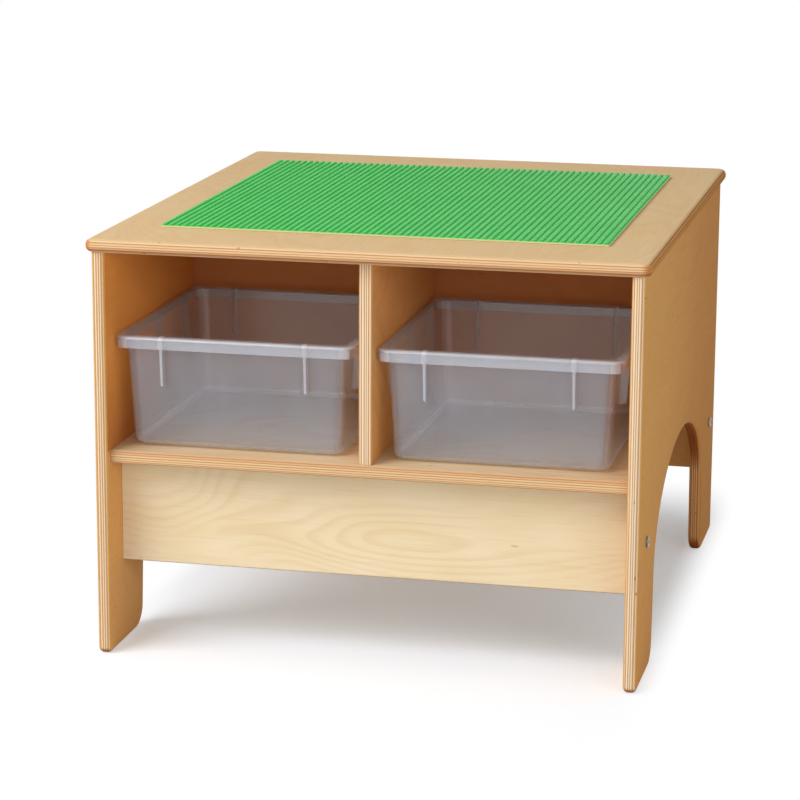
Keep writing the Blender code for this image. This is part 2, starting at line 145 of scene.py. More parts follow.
# Studio: half the floor's width, a distance past which nothing changes, how far the camera
# sees, and each lamp's place, width and height
FLOOR_REACH = 14.0
FAR_OFF = 9.0
VIEW_REACH = 60
LAMP_TARGET = (0, 0, 0.25)
LAMPS = {
    "key": ((-2.0, -2.2, 2.55), 2.6, 2.0),
    "front": ((0.9, -3.2, 1.4), 1.6, 1.2),
    "side": ((1.9, -2.0, 1.1), 1.2, 1.0),
}


def srgb(red, green, blue):
    """Linear colour of an 8-bit display colour."""
    linear = []
    for level in (red, green, blue):
        part = level / 255
        linear.append(part / 12.92 if part <= 0.04045 else ((part + 0.055) / 1.055) ** 2.4)
    return tuple(linear)


def length(name, description, default):
    return FloatProperty(
        name=name, description=description, default=default, min=0.0, precision=4, unit="LENGTH"
    )


def share(name, description, default):
    return FloatProperty(
        name=name, description=description, default=default, min=0.0, max=1.0, subtype="FACTOR"
    )


def count(name, description, default):
    return IntProperty(name=name, description=description, default=default, min=1)


def colour(name, description, default):
    return FloatVectorProperty(
        name=name, description=description, default=default, min=0.0, max=1.0, subtype="COLOR"
    )


def angle(name, description, degrees):
    return FloatProperty(
        name=name, description=description, default=math.radians(degrees), subtype="ANGLE"
    )


def power(name, description, watts):
    return FloatProperty(
        name=name, description=description, default=watts, min=0.0, unit="POWER"
    )


class BoardSizes(bpy.types.PropertyGroup):
    """Shapes of the plywood boards."""

    panel_round: length("Panel edge", "Round on the edges of the side panels", 5.5 * MM)
    board_ease: length("Eased edge", "Round on the shelf, dividers and aprons", 2 * MM)
    top_nose: length("Top nose", "Radius of the bullnose round the top", 7 * MM)
    top_corner: length("Top corner", "Radius of the top's corners in plan", 12 * MM)
    leg_at_floor: length("Leg at floor", "Width of a leg at the floor", 123.5 * MM)
    leg_at_spring: length("Leg at arch", "Width of a leg where the arch springs", 131 * MM)
    arch_spring: length("Arch spring", "Height at which the arch starts", 98 * MM)
    arch_rise: length("Arch rise", "Rise of the arch above its spring", 115 * MM)
    foot_inner: length("Inner foot", "Round at the foot on the arch side", 27 * MM)
    foot_outer: length("Outer foot", "Round at the foot on the outer side", 8 * MM)
    groove: length("Groove depth", "Depth of the partition's grooves", 5 * MM)


class WoodColours(bpy.types.PropertyGroup):
    """Colours of the birch plywood, and tints that paint shade into it."""

    pale: colour("Pale veneer", "Lightest part of the face veneer", srgb(245, 229, 197))
    honey: colour("Honey veneer", "Warmer patches of the face veneer", srgb(238, 215, 168))
    figure: colour("Figure", "Growth lines in the face veneer", srgb(208, 160, 96))
    fleck: colour("Fleck", "Short pith flecks in the veneer", srgb(168, 104, 52))
    long_ply: colour("Light ply", "Plies cut along their grain", srgb(241, 224, 194))
    end_ply: colour("Dark ply", "Plies cut across their grain", srgb(213, 157, 107))
    glue: colour("Glue line", "Thin lines between the plies", srgb(128, 72, 38))
    top_tint: colour("Top tint", "Tint of the top", srgb(250, 230, 206))
    # Right panel's outer face: partly the wood's tone, partly painted shade
    panel_tone_and_shade_tint: colour("Panel tint", "Tint of the side panels", srgb(242, 192, 124))
    # Painted shade on the side panels towards the rear
    rear_shade_tint: colour("Rear tint", "Tint of the side panels at the rear", srgb(228, 167, 91))
    left_tint: colour("Left tint", "Tint of the left panel's outer face", srgb(246, 210, 158))
    # Painted shade on the edges in the arch
    arch_shade_tint: colour("Arch tint", "Tint of the edges in the arch", srgb(236, 200, 166))
    # Painted shade on the panels' inner faces, with a painted shadow down at the shelf
    inner_shade_tint: colour("Inner tint", "Tint of the panels inside", srgb(248, 180, 112))
    inner_low_shade_tint: colour("Low tint", "Tint inside, down at the shelf", srgb(216, 150, 95))
    # Painted shade on the legs' inner faces below the shelf
    leg_shade_tint: colour("Leg tint", "Tint inside, below the shelf", srgb(238, 192, 140))
    # Painted shade on the edges that face down
    under_shade_tint: colour("Under tint", "Tint of the edges that face down", srgb(180, 130, 90))
    apron_tint: colour("Apron tint", "Tint of the front apron", srgb(252, 248, 242))
    apron_rear_tint: colour("Rear apron", "Tint of the rear apron", srgb(246, 202, 156))
    # Painted shade inside the compartments, on the dividers and the partition
    inside_tint: colour("Inside tint", "Tint of the dividers", srgb(240, 190, 140))
    thin_tint: colour("Partition tint", "Tint of the thin partition", srgb(222, 160, 120))
    # Painted shade on the shelf and its edge, under the top
    shelf_tint: colour("Shelf tint", "Tint of the shelf", srgb(236, 226, 220))
    shelf_edge_tint: colour("Shelf edge tint", "Tint of the shelf's edge", srgb(244, 226, 204))
    top_edge_tint: colour("Top edge tint", "Tint of the top's edge", srgb(248, 234, 216))
    # Painted shade on the top's side edges
    top_end_tint: colour("Top end tint", "Tint of the top's side edges", srgb(246, 212, 162))
    beech: colour("Beech", "Dowels", srgb(214, 178, 132))
    plies: IntProperty(name="Plies", description="Plies in a board", default=11, min=3)


class PlateSizes(bpy.types.PropertyGroup):
    """Brick plate and its studs."""

    studs: count("Studs", "Studs along each side", 64)
    diameter: length("Stud diameter", "Diameter of a stud", 4.8 * MM)
    height: length("Stud height", "Height of a stud", 1.8 * MM)
    chamfer: length("Stud edge", "Chamfer round a stud's top", 0.3 * MM)
    corner: length("Plate corner", "Radius of the plate's corners", 2 * MM)
    edge: length("Plate edge", "Round on the plate's upper edge", 0.5 * MM)
    green: colour("Green", "Moulded plastic of the plate", srgb(66, 204, 93))
    # Painted light along the plate's thin edge
    rim: colour("Plate rim", "Paler edge of the plate", srgb(212, 216, 158))


class TubSizes(bpy.types.PropertyGroup):
    """Translucent storage tubs."""

    wall: length("Wall", "Thickness of the wall", 2 * MM)
    lip: length("Lip", "Depth of the lip under the rim", 13.5 * MM)
    rim: length("Rim", "Width of the rim", 10 * MM)
    draft: length("Draft", "How far the wall leans in towards its foot", 6 * MM)
    bottom: length("Bottom round", "Round between wall and floor", 10 * MM)
    rim_round: length("Rim round", "Round on the rim's outer edge", 4 * MM)
    rim_corner: length("Rim corner", "Radius of the rim's corners in plan", 16 * MM)
    wall_corner: length("Wall corner", "Radius of the wall's corners in plan", 14 * MM)
    rib_width: length("Rib width", "Thickness of a rib at its top", 3.6 * MM)
    rib_toe_width: length("Toe width", "Thickness of a rib at its toe", 2.5 * MM)
    rib_length: length("Rib length", "Length of a rib", 58 * MM)
    rib_inset: length("Rib inset", "From the rim's outer edge to a rib's at its top", 1 * MM)
    rib_toe_inset: length("Toe inset", "From the rim's outer edge to a rib's toe", 4.5 * MM)
    rib_toe: length("Rib toe", "Height of the slanted end of a rib", 3 * MM)
    front_pitch: length("Front ribs", "Pitch of the two ribs on the front", 166 * MM)
    side_pitch: length("Side ribs", "Pitch of the three ribs on a side", 104 * MM)
    milk: colour("Plastic", "Milky plastic of the tubs", srgb(226, 227, 234))
    wall_cover: share("Wall cover", "Opacity of each face of the wall", 0.13)
    rim_cover: share("Rim cover", "Opacity of each face of the rim", 0.25)
    rib_cover: share("Rib cover", "Opacity of each face of the front and back ribs", 0.46)
    side_rib_cover: share("Side rib cover", "Opacity of each face of the side ribs", 0.1)
    round_cover: share("Round cover", "What a round edge adds to its opacity", 0.3)
    corner_cover: share("Corner cover", "What an upright corner adds to its opacity", 0.14)


class FastenerSizes(bpy.types.PropertyGroup):
    """Connector bolts and barrel nuts."""

    shank: length("Bolt shank", "Diameter of a bolt's shank", 6 * MM)
    head: length("Bolt head", "Diameter of a bolt's head", 13 * MM)
    head_thick: length("Head thickness", "Thickness of a bolt's head", 2.6 * MM)
    head_edge: length("Head edge", "Thickness of the head at its rim", 1.3 * MM)
    head_flat: length("Head flat", "Diameter of the flat on the head", 8 * MM)
    socket: length("Socket", "Hexagon socket across its flats", 4 * MM)
    socket_depth: length("Socket depth", "Depth of the hexagon socket", 1.8 * MM)
    point: length("Bolt point", "Chamfer at the bolt's point", 0.8 * MM)
    slot: length("Nut slot", "Width of the slot in a barrel nut", 1.2 * MM)
    nickel: colour("Nickel", "Plated steel", srgb(136, 128, 118))


class StageSettings(bpy.types.PropertyGroup):
    """Camera, floor and lamps."""

    lens: FloatProperty(name="Lens", description="Focal length in mm", default=129.0)
    camera: FloatVectorProperty(
        name="Camera", description="Place of the camera", unit="LENGTH",
        default=(0.7119, -3.3161, 1.0308),
    )
    yaw: angle("Yaw", "Turn of the camera about the vertical", 12.7)
    pitch: angle("Pitch", "How far the camera looks down", 13.2)
    roll: angle("Roll", "Roll of the camera", 0.3)
    floor: colour("Floor", "Pale floor", srgb(240, 245, 252))
    shadow_start: length("Shadow start", "Distance at which the shadow starts to fade", 0.0)
    shadow_end: length("Shadow end", "Distance at which the floor is white", 0.25)
    shadow_narrow: FloatProperty(
        name="Shadow narrowing", description="How much sooner the shadow fades at the sides",
        default=4.5,
    )
    floor_lift: share("Floor lift", "How far the floor is lifted to white for the eye", 0.24)
    fill: share("Fill", "Brightness of the room round the table", 0.4)
    key_power: power("Key", "Key lamp", 94.0)
    front_power: power("Front", "Lamp beside the camera", 8.5)
    side_power: power("Side", "Lamp to the right of the table", 10.0)


class TableSettings(bpy.types.PropertyGroup):
    """All that a user may change."""

    boards: PointerProperty(type=BoardSizes)
    wood: PointerProperty(type=WoodColours)
    plate: PointerProperty(type=PlateSizes)
    tub: PointerProperty(type=TubSizes)
    fasteners: PointerProperty(type=FastenerSizes)
    stage: PointerProperty(type=StageSettings)


class Value:
    """A node's output. Arithmetic on it adds Math nodes."""

    def __init__(self, graph, socket):
        self.graph = graph
        self.socket = socket

    def calc(self, operation, *values):
        return self.graph.node("ShaderNodeMath", {"operation": operation}, dict(enumerate(values)))

    def __add__(self, other):
        return self.calc("ADD", self, other)

    def __radd__(self, other):
        return self.calc("ADD", other, self)

    def __sub__(self, other):
        return self.calc("SUBTRACT", self, other)

    def __rsub__(self, other):
        return self.calc("SUBTRACT", other, self)

    def __mul__(self, other):
        return self.calc("MULTIPLY", self, other)

    def __rmul__(self, other):
        return self.calc("MULTIPLY", other, self)

    def __pow__(self, other):
        return self.calc("POWER", self, other)

    def __abs__(self):
        return self.calc("ABSOLUTE", self)

    def __lt__(self, other):
        return self.calc("LESS_THAN", self, other)

    def floor(self):
        return self.calc("FLOOR", self)

    def fraction(self):
        return self.calc("FRACT", self)

    def cosine(self):
        return self.calc("COSINE", self)

    def within(self, low, high):
        return self.calc("MINIMUM", self.calc("MAXIMUM", self, low), high)

    def rise(self, low, high):
        """Nothing up to low, then a smooth step up to 1 at high."""
        return self.graph.node(
            "ShaderNodeMapRange", {"interpolation_type": "SMOOTHSTEP"},
            {"Value": self, "From Min": low, "From Max": high},
        )

    def output(self, name):
        """Another output of the node that this value comes from."""
        return Value(self.graph, find_socket(self.socket.node.outputs, name))

    def parts(self):
        """The three numbers of a vector."""
        first = self.graph.node("ShaderNodeSeparateXYZ", {}, {"Vector": self})
        return [first.output(name) for name in "XYZ"]


def find_socket(sockets, key):
    """A socket by its place, or the one in use that has the name."""
    if isinstance(key, int):
        return sockets[key]
    return next(socket for socket in sockets if socket.enabled and socket.name == key)


class Graph:
    """Adds nodes to one tree, of a material, a world or Geometry Nodes."""

    def __init__(self, tree):
        tree.nodes.clear()
        self.tree = tree

    def node(self, kind, settings, sockets, output=0):
        """Add a node: its settings first, then the values or links of its sockets."""
        made = self.tree.nodes.new(kind)
        for name, setting in settings.items():
            setattr(made, name, setting)
        for key, value in sockets.items():
            socket = find_socket(made.inputs, key)
            if isinstance(value, Value):
                self.tree.links.new(value.socket, socket)
            elif socket.type == "RGBA":
                socket.default_value = (*value, 1.0)
            else:
                socket.default_value = value
        return Value(self, find_socket(made.outputs, output)) if made.outputs else None

    def coordinates(self, output="Object"):
        return self.node("ShaderNodeTexCoord", {}, {}, output)

    def vector(self, x, y, z):
        return self.node("ShaderNodeCombineXYZ", {}, {"X": x, "Y": y, "Z": z})

    def mix(self, factor, first, second, blend="MIX"):
        settings = {"data_type": "RGBA", "blend_type": blend}
        sockets = {"Factor": factor, "A": first, "B": second}
        return self.node("ShaderNodeMix", settings, sockets, "Result")

    def tinted(self, first, tint):
        return self.mix(1.0, first, tint, "MULTIPLY")

    def mix_vectors(self, factor, first, second):
        sockets = {"Factor": factor, "A": first, "B": second}
        return self.node("ShaderNodeMix", {"data_type": "VECTOR"}, sockets, "Result")

    def noise(self, vector, scale=1.0, detail=2.0, roughness=0.5, distortion=0.0):
        sockets = {
            "Vector": vector, "Scale": scale, "Detail": detail, "Roughness": roughness,
            "Distortion": distortion,
        }
        return self.node("ShaderNodeTexNoise", {}, sockets)

    def chance(self, number):
        """A random number from 0 to 1 for each whole number."""
        return self.node("ShaderNodeTexWhiteNoise", {"noise_dimensions": "1D"}, {"W": number})

    def bump(self, height, strength, distance):
        sockets = {"Height": height, "Strength": strength, "Distance": distance}
        return self.node("ShaderNodeBump", {}, sockets)

    def surface(self, sockets):
        """Finish the material with a Principled shader."""
        shader = self.node("ShaderNodeBsdfPrincipled", {}, sockets)
        self.node("ShaderNodeOutputMaterial", {}, {"Surface": shader})


def new_material(name):
    made = bpy.data.materials.new(name)
    made.use_nodes = True
    return made, Graph(made.node_tree)


# Finishes


class Veneer(NamedTuple):
    """How a board's plywood lies. Its tints are named after the wood's colours."""

    material: str
    grain: int
    seed: int
    tint: str = ""
    edge_tint: str = ""
    sideways_shade_tint: str = ""
    balance: float = 0.0
    figure: float = 1.0


VENEERS = {
    "table_top": Veneer(
        "top_plywood", Y, 3, "top_tint", "top_edge_tint", "top_end_tint", -0.2, 0.3
    ),
    "side_panel_left": Veneer("side_plywood_left", Y, 11, balance=0.1, figure=0.25),
    "side_panel_right": Veneer("side_plywood_right", Y, 31, balance=-0.06, figure=0.25),
    # The shelf carries painted shade from the top above it
    "shelf": Veneer("shelf_plywood", X, 5, "shelf_tint", "shelf_edge_tint", balance=0.26),
    # Partition and dividers: painted shade inside the compartments
    "centre_partition": Veneer("partition_plywood", X, 8, "thin_tint", figure=0.3),
    "divider_front": Veneer("divider_plywood_front", Y, 17, "inside_tint", figure=0.4),
    "divider_rear": Veneer("divider_plywood_rear", Y, 18, "inside_tint", figure=0.4),
    "apron_front": Veneer("apron_plywood_front", X, 25, "apron_tint", figure=0.5),
    "apron_rear": Veneer("apron_plywood_rear", X, 22, "apron_rear_tint", figure=0.5),
}


def is_side_panel(board):
    return board.startswith("side_panel")


class Grain:
    """Where a point lies in a board: along its grain, and in which of its crossed plies.

    The balance makes the plies that lie as the face veneer does thicker than the others.
    """

    def __init__(self, graph, board, plies):
        veneer = VENEERS[board]
        low, high = BOX[board]
        size = high - low
        thin = min((X, Y, Z), key=lambda axis: size[axis])
        across = X + Y + Z - thin - veneer.grain
        draw = Random(veneer.seed)
        self.graph = graph
        self.place = graph.coordinates().parts()
        self.normal = graph.coordinates("Normal").parts()
        self.facing = [abs(part) for part in self.normal]
        self.along = self.place[veneer.grain] + draw.uniform(3, 9)
        self.beside = self.place[across] + draw.uniform(3, 9)
        self.deep = self.place[thin] * FIBRE[1]

        depth = (self.place[thin] - low[thin]) * (1 / size[thin])
        wander = self.pattern(WANDER, depth * 1.5, detail=1)
        uneven = graph.noise(graph.vector(depth * 3.5, draw.uniform(0, 50), 0.0), detail=0)
        level = depth * plies + (wander - 0.5) * 0.4 + (uneven - 0.5) * 1.6
        level = level + (level * math.pi).cosine() * veneer.balance
        level = level.within(0.02, plies - 0.02)
        self.ply = level.floor()
        self.gap = abs(level - self.ply - 0.5).rise(0.38, 0.5)
        self.odd = (self.ply * 0.5).fraction() * 2
        self.luck = graph.chance(self.ply + veneer.seed)

        along_facing, across_facing = self.facing[veneer.grain], self.facing[across]
        self.end_grain = along_facing + (across_facing - along_facing) * self.odd
        edge_from, edge_to = (0.55, 0.86) if is_side_panel(board) else (0.72, 0.98)
        self.edge = 1 - self.facing[thin].rise(edge_from, edge_to)
        self.mottle = self.pattern(MOTTLE, self.ply * 7, detail=3, roughness=0.55)
        self.fibre = self.fibres()

    def pattern(self, cells, layer, **settings):
        """Noise drawn out along the grain."""
        vector = self.graph.vector(self.along * cells[0], self.beside * cells[1], layer)
        return self.graph.noise(vector, **settings)

    def fibres(self):
        """Fine fibres, which lie crossed in each second ply."""
        long, short = FIBRE
        lengthwise = self.graph.vector(self.along * long, self.beside * short, self.deep)
        crosswise = self.graph.vector(self.along * short, self.beside * long, self.deep)
        vector = self.graph.mix_vectors(self.odd, lengthwise, crosswise)
        return self.graph.noise(vector, detail=3, roughness=0.6)

    def flecks(self):
        """Short pith flecks, on the faces only."""
        long, short = FLECKS
        vector = self.graph.vector(self.along * long, self.beside * short, 0.0)
        cell = self.graph.node(
            "ShaderNodeTexVoronoi", {"feature": "F1"}, {"Vector": vector, "Scale": 1.0}
        )
        lottery = cell.output("Color").parts()[0]
        return (1 - cell.rise(0.06, 0.17)) * (lottery < FLECK_SHARE) * (1 - self.edge)


def panel_tints(graph, wood, place):
    """Tints of a side panel's faces and edges, and where its arch is.

    Painted shade darkens the wood to the rear, on the inner faces, down at the shelf inside, below
    the shelf and on the edges in the arch, and the legs grow darker towards the bottom. The right
    panel's outer face is partly the wood's tone and partly painted shade; the left one's is paler.
    """
    # Painted shade towards the rear, and darker towards the bottom of the legs
    low_leg = 1 - place[Z].rise(0.0, LEG_TINT_END)
    rear_shade_and_low_darkening = (place[Y].rise(REAR_SHADE_START, REAR_SHADE_END) + low_leg * 0.5).within(0.0, 1.0)
    # The right panel's outer face is partly the wood's tone and partly painted shade; the left's
    # is paler
    tint = graph.mix(rear_shade_and_low_darkening, wood.panel_tone_and_shade_tint, wood.rear_shade_tint)
    tint = graph.mix(place[X] < -PANEL_FACE - PLY + GAP, tint, wood.left_tint)
    # Painted shadow down at the shelf, and painted shade on the inner faces and below the shelf
    shelf_shadow = 1 - place[Z].rise(SHELF_TOP, SHELF_TOP + SHELF_SHADOW_HEIGHT)
    within = graph.mix(shelf_shadow, wood.inner_shade_tint, wood.inner_low_shade_tint)
    within = graph.mix(place[Z] < SHELF_TOP - GAP, within, wood.leg_shade_tint)
    inside = abs(place[X]) < PANEL_FACE + GAP
    # The edges in the arch get painted shade
    arch = abs(place[Y]) < -FRONT - ARCH_MARGIN
    return graph.mix(inside, tint, within), graph.mix(arch, WHITE, wood.arch_shade_tint), arch


def face_veneer(graph, wood, grain, fleck, figure):
    """Mottle, growth lines, fibres and flecks of the face veneer."""
    growth = grain.pattern(GROWTH, grain.ply * 3, detail=1.5, roughness=0.4, distortion=0.6)
    ring = (growth * RINGS).fraction()
    line = ring.rise(0.3, 0.78) * (1 - ring.rise(0.8, 1.0))
    presence = grain.pattern(FIGURE_PATCHES, 4.0, detail=1).rise(0.36, 0.66)
    honey = grain.mottle.rise(0.25, 0.8) * (0.3 + 0.5 * figure)
    veneer = graph.mix(honey, wood.pale, wood.honey)
    veneer = graph.mix(line * presence * 0.34 * figure, veneer, wood.figure)
    veneer = graph.mix(grain.fibre.rise(0.46, 0.78) * 0.16, veneer, wood.figure)
    return graph.mix(fleck * 0.45, veneer, wood.fleck)


def sawn_plies(graph, wood, grain, glue):
    """Light and dark plies of an edge, with the glue lines and a few open pockets."""
    light = graph.mix(grain.mottle.rise(0.35, 0.8) * 0.3, wood.long_ply, wood.honey)
    light = graph.mix(grain.luck.rise(0.4, 1.0) * 0.5, light, wood.end_ply)
    dark = graph.mix(grain.luck * 0.5, wood.end_ply, wood.figure)
    dark = graph.mix(grain.mottle.rise(0.4, 0.75) * 0.25, dark, wood.fleck)
    sawn = graph.mix(grain.end_grain.rise(0.15, 0.8), light, dark)
    sawn = graph.mix(grain.gap * glue, sawn, wood.glue)
    pocket = grain.pattern(POCKETS, grain.ply * 5, detail=1).rise(0.73, 0.78)
    return graph.mix(pocket * 0.6, sawn, wood.glue)


def plywood(board, wood):
    """Clear-finished birch plywood, solid right through the board.

    The face veneer shows its figure, and the edges show the plies, which lie with their grain
    crossed, so that each second one is cut across its grain and looks darker. The sideways
    shade tint paints shade on the edges that face sideways, and the edges that face down get
    painted shade.
    """
    veneer = VENEERS[board]
    made, graph = new_material(veneer.material)
    grain = Grain(graph, board, wood.plies)
    glue = 0.4
    if is_side_panel(board):
        tint, edge_tint, arch = panel_tints(graph, wood, grain.place)
        glue = arch * 0.3 + glue
    else:
        tint = getattr(wood, veneer.tint)
        edge_tint = getattr(wood, veneer.edge_tint) if veneer.edge_tint else WHITE
    # Painted shade on the edges that face sideways
    if veneer.sideways_shade_tint:
        sideways = grain.facing[X]
        edge_tint = graph.mix(sideways, edge_tint, getattr(wood, veneer.sideways_shade_tint))
        glue = glue - sideways * 0.3

    fleck = grain.flecks()
    face = graph.tinted(face_veneer(graph, wood, grain, fleck, veneer.figure), tint)
    sawn = graph.tinted(sawn_plies(graph, wood, grain, glue), edge_tint)
    # Painted shade on the edges that face down
    under = (grain.normal[Z] * -1).rise(0.1, 0.6)
    sawn = graph.mix(under * 0.7, sawn, graph.tinted(sawn, wood.under_shade_tint))
    height = grain.fibre * 0.35 - grain.gap * grain.edge * 0.5 - fleck * 0.4
    graph.surface({
        "Base Color": graph.mix(grain.edge, face, sawn),
        "Roughness": 0.44 + grain.edge * 0.3 + grain.fibre * 0.08,
        "IOR": 1.05,
        "Normal": graph.bump(height, strength=0.18, distance=0.3 * MM),
    })
    return made


def beech(wood):
    """Turned beech, finely mottled."""
    made, graph = new_material("beech")
    fine = graph.noise(graph.coordinates(), scale=300, detail=3)
    graph.surface({
        "Base Color": graph.mix(fine.rise(0.4, 0.75) * 0.5, wood.beech, wood.figure),
        "Roughness": 0.6 + fine * 0.1,
        "Normal": graph.bump(fine, strength=0.2, distance=0.2 * MM),
    })
    return made


def plate_plastic(plate):
    """Moulded green plastic, a little paler along its thin rim: painted light that the rim lets
    through.
    """
    made, graph = new_material("plate_plastic")
    position = graph.coordinates()
    cloud = graph.noise(position, scale=22, detail=3, roughness=0.6)
    grain = graph.noise(position, scale=1400, detail=2)
    deep = graph.tinted(plate.green, DEEP_GREEN_TINT)
    tone = graph.mix(cloud.rise(0.3, 0.7) * 0.5, plate.green, deep)
    above = position.parts()[Z] - PLATE_LOW.z
    # Painted light: paler along the plate's thin edge
    tone = graph.mix(1 - above.rise(1.2 * MM, 2.2 * MM), tone, plate.rim)
    graph.surface({
        "Base Color": tone,
        "Roughness": 0.27 + cloud * 0.1,
        "IOR": 1.3,
        "Normal": graph.bump(grain, strength=0.06, distance=0.1 * MM),
    })
    return made


def tub_plastic(tub):
    """Milky polypropylene. The rim and ribs hold more plastic than the wall, so show whiter."""
    made, graph = new_material("tub_plastic")
    position = graph.coordinates()
    bulk = graph.node("ShaderNodeAttribute", {"attribute_name": "cover"}, {}, "Fac")
    cloud = graph.noise(position, scale=14, detail=3, roughness=0.55)
    x, y, z = position.parts()
    flow = graph.noise(graph.vector(x * 60, y * 60, z * 9), detail=2)
    relief = graph.bump(flow, strength=0.08, distance=0.3 * MM)
    body = graph.node("ShaderNodeBsdfPrincipled", {}, {
        "Base Color": graph.mix(cloud.rise(0.35, 0.7) * 0.3, tub.milk, MILK_CLOUD),
        "Alpha": bulk * (0.9 + (flow - 0.5) * 0.3 + (cloud - 0.5) * 0.3),
        "Roughness": 0.3 + cloud * 0.2,
        "IOR": 1.49,
        "Normal": relief,
    })
    skin = graph.node("ShaderNodeBsdfAnisotropic", {}, {
        "Color": WHITE, "Roughness": 0.16, "Normal": relief,
    })
    turned_away = graph.node("ShaderNodeLayerWeight", {}, {"Normal": relief}, "Facing")
    gloss = turned_away ** 5 * 0.45 + 0.03
    shader = graph.node("ShaderNodeMixShader", {}, {0: gloss, 1: body, 2: skin})
    graph.node("ShaderNodeOutputMaterial", {}, {"Surface": shader})
    return made


def nickel_plate(fasteners):
    """Nickel on turned steel, a little cloudy and scuffed."""
    made, graph = new_material("nickel_plate")
    position = graph.coordinates()
    scuff = graph.noise(position, scale=260, detail=4, roughness=0.65)
    cloud = graph.noise(position, scale=90, detail=2)
    dull = graph.tinted(fasteners.nickel, DULL_NICKEL)
    graph.surface({
        "Base Color": graph.mix(cloud.rise(0.35, 0.7) * 0.5, fasteners.nickel, dull),
        "Metallic": 1.0,
        "Roughness": 0.2 + scuff.rise(0.4, 0.7) * 0.16,
        "Normal": graph.bump(scuff, strength=0.08, distance=0.1 * MM),
    })
    return made


# Mesh tools


def quarter_turn(steps):
    """Angles from nothing to a right angle, in equal steps."""
    return [math.pi / 2 * step / steps for step in range(steps + 1)]


def fillet(before, corner, after, radius, steps):
    """Points of an arc that rounds the corner of an outline."""
    before, corner, after = Vector(before), Vector(corner), Vector(after)
    back = (before - corner).normalized()
    ahead = (after - corner).normalized()
    half = back.angle(ahead) / 2
    middle = corner + (back + ahead).normalized() * (radius / math.sin(half))
    start = (corner + back * (radius / math.tan(half)) - middle).normalized()
    end = (corner + ahead * (radius / math.tan(half)) - middle).normalized()
    return [middle + radius * start.slerp(end, step / steps) for step in range(steps + 1)]


def rounded_rectangle(half_x, half_y, radius, steps):
    corners = [(half_x, half_y), (-half_x, half_y), (-half_x, -half_y), (half_x, -half_y)]
    points = []
    for index, corner in enumerate(corners):
        before = corners[index - 1]
        after = corners[(index + 1) % len(corners)]
        points += fillet(before, corner, after, radius, steps)
    return points


def unit(axis, length_along=1.0):
    vector = Vector((0, 0, 0))
    vector[axis] = length_along
    return vector


def prism(outline, axis, low, high):
    """A closed solid: a flat outline drawn square to one axis and extruded along it."""
    first, second = [other for other in (X, Y, Z) if other != axis]
    bm = bmesh.new()
    verts = []
    for across, up in outline:
        point = unit(axis, low) + unit(first, across) + unit(second, up)
        verts.append(bm.verts.new(point))
    face = bm.faces.new(verts)
    grown = bmesh.ops.extrude_face_region(bm, geom=[face])
    moved = [item for item in grown["geom"] if isinstance(item, bmesh.types.BMVert)]
    bmesh.ops.translate(bm, verts=moved, vec=unit(axis, high - low))
    return bm


def block(low, high):
    outline = [(low[0], low[1]), (high[0], low[1]), (high[0], high[1]), (low[0], high[1])]
    return prism(outline, Z, low[2], high[2])


def runs_along(direction, axis):
    """Whether a direction lies nearer to the axis than to the plane square to it."""
    return abs(direction[axis]) > math.sqrt(0.5)


def round_edges(bm, radius, steps, wanted):
    """Round over each edge for which wanted(middle, direction) is true."""
    chosen = []
    for edge in bm.edges:
        first, second = edge.verts
        middle = (first.co + second.co) / 2
        direction = (second.co - first.co).normalized()
        if wanted(middle, direction):
            chosen.append(edge)
    bmesh.ops.bevel(
        bm, geom=chosen, offset=radius, segments=steps, profile=0.5, affect="EDGES",
        clamp_overlap=True,
    )


def turned(profile, origin, axis, sides):
    """A solid of revolution. The profile lists (radius, distance along the axis)."""
    bm = bmesh.new()
    verts = [bm.verts.new((radius, 0, along)) for radius, along in profile]
    edges = [bm.edges.new(pair) for pair in zip(verts, verts[1:])]
    bmesh.ops.spin(
        bm, geom=verts + edges, cent=(0, 0, 0), axis=(0, 0, 1), angle=math.tau,
        steps=sides, use_merge=True,
    )
    bmesh.ops.remove_doubles(bm, verts=bm.verts, dist=WELD)
    turn = Vector(axis).to_track_quat("Z", "Y").to_matrix().to_4x4()
    bmesh.ops.transform(bm, matrix=Matrix.Translation(origin) @ turn, verts=bm.verts)
    return bm


def rod_profile(radius, half, chamfer):
    """Half section of a rod with chamfered ends, of the given half length."""
    return [
        (0, -half), (radius - chamfer, -half), (radius, chamfer - half),
        (radius, half - chamfer), (radius - chamfer, half), (0, half),
    ]


def loft(rings):
    """Skin a stack of rings that have the same number of points, with a cap at each end."""
    bm = bmesh.new()
    loops = [[bm.verts.new(point) for point in ring] for ring in rings]
    for lower, upper in zip(loops, loops[1:]):
        for index in range(len(lower)):
            after = (index + 1) % len(lower)
            bm.faces.new((lower[index], lower[after], upper[after], upper[index]))
    bm.faces.new(loops[0])
    bm.faces.new(loops[-1])
    return bm


def gather(solids):
    """Put separate solids together in one bmesh."""
    whole = bmesh.new()
    for solid in solids:
        mesh = bpy.data.meshes.new("solid")
        solid.to_mesh(mesh)
        solid.free()
        whole.from_mesh(mesh)
        bpy.data.meshes.remove(mesh)
    return whole


def shape(name, bm):
    """Turn a bmesh of closed solids into an object at the origin."""
    bmesh.ops.recalc_face_normals(bm, faces=bm.faces)
    mesh = bpy.data.meshes.new(name)
    bm.to_mesh(mesh)
    bm.free()
    made = bpy.data.objects.new(name, mesh)
    bpy.context.scene.collection.objects.link(made)
    return made


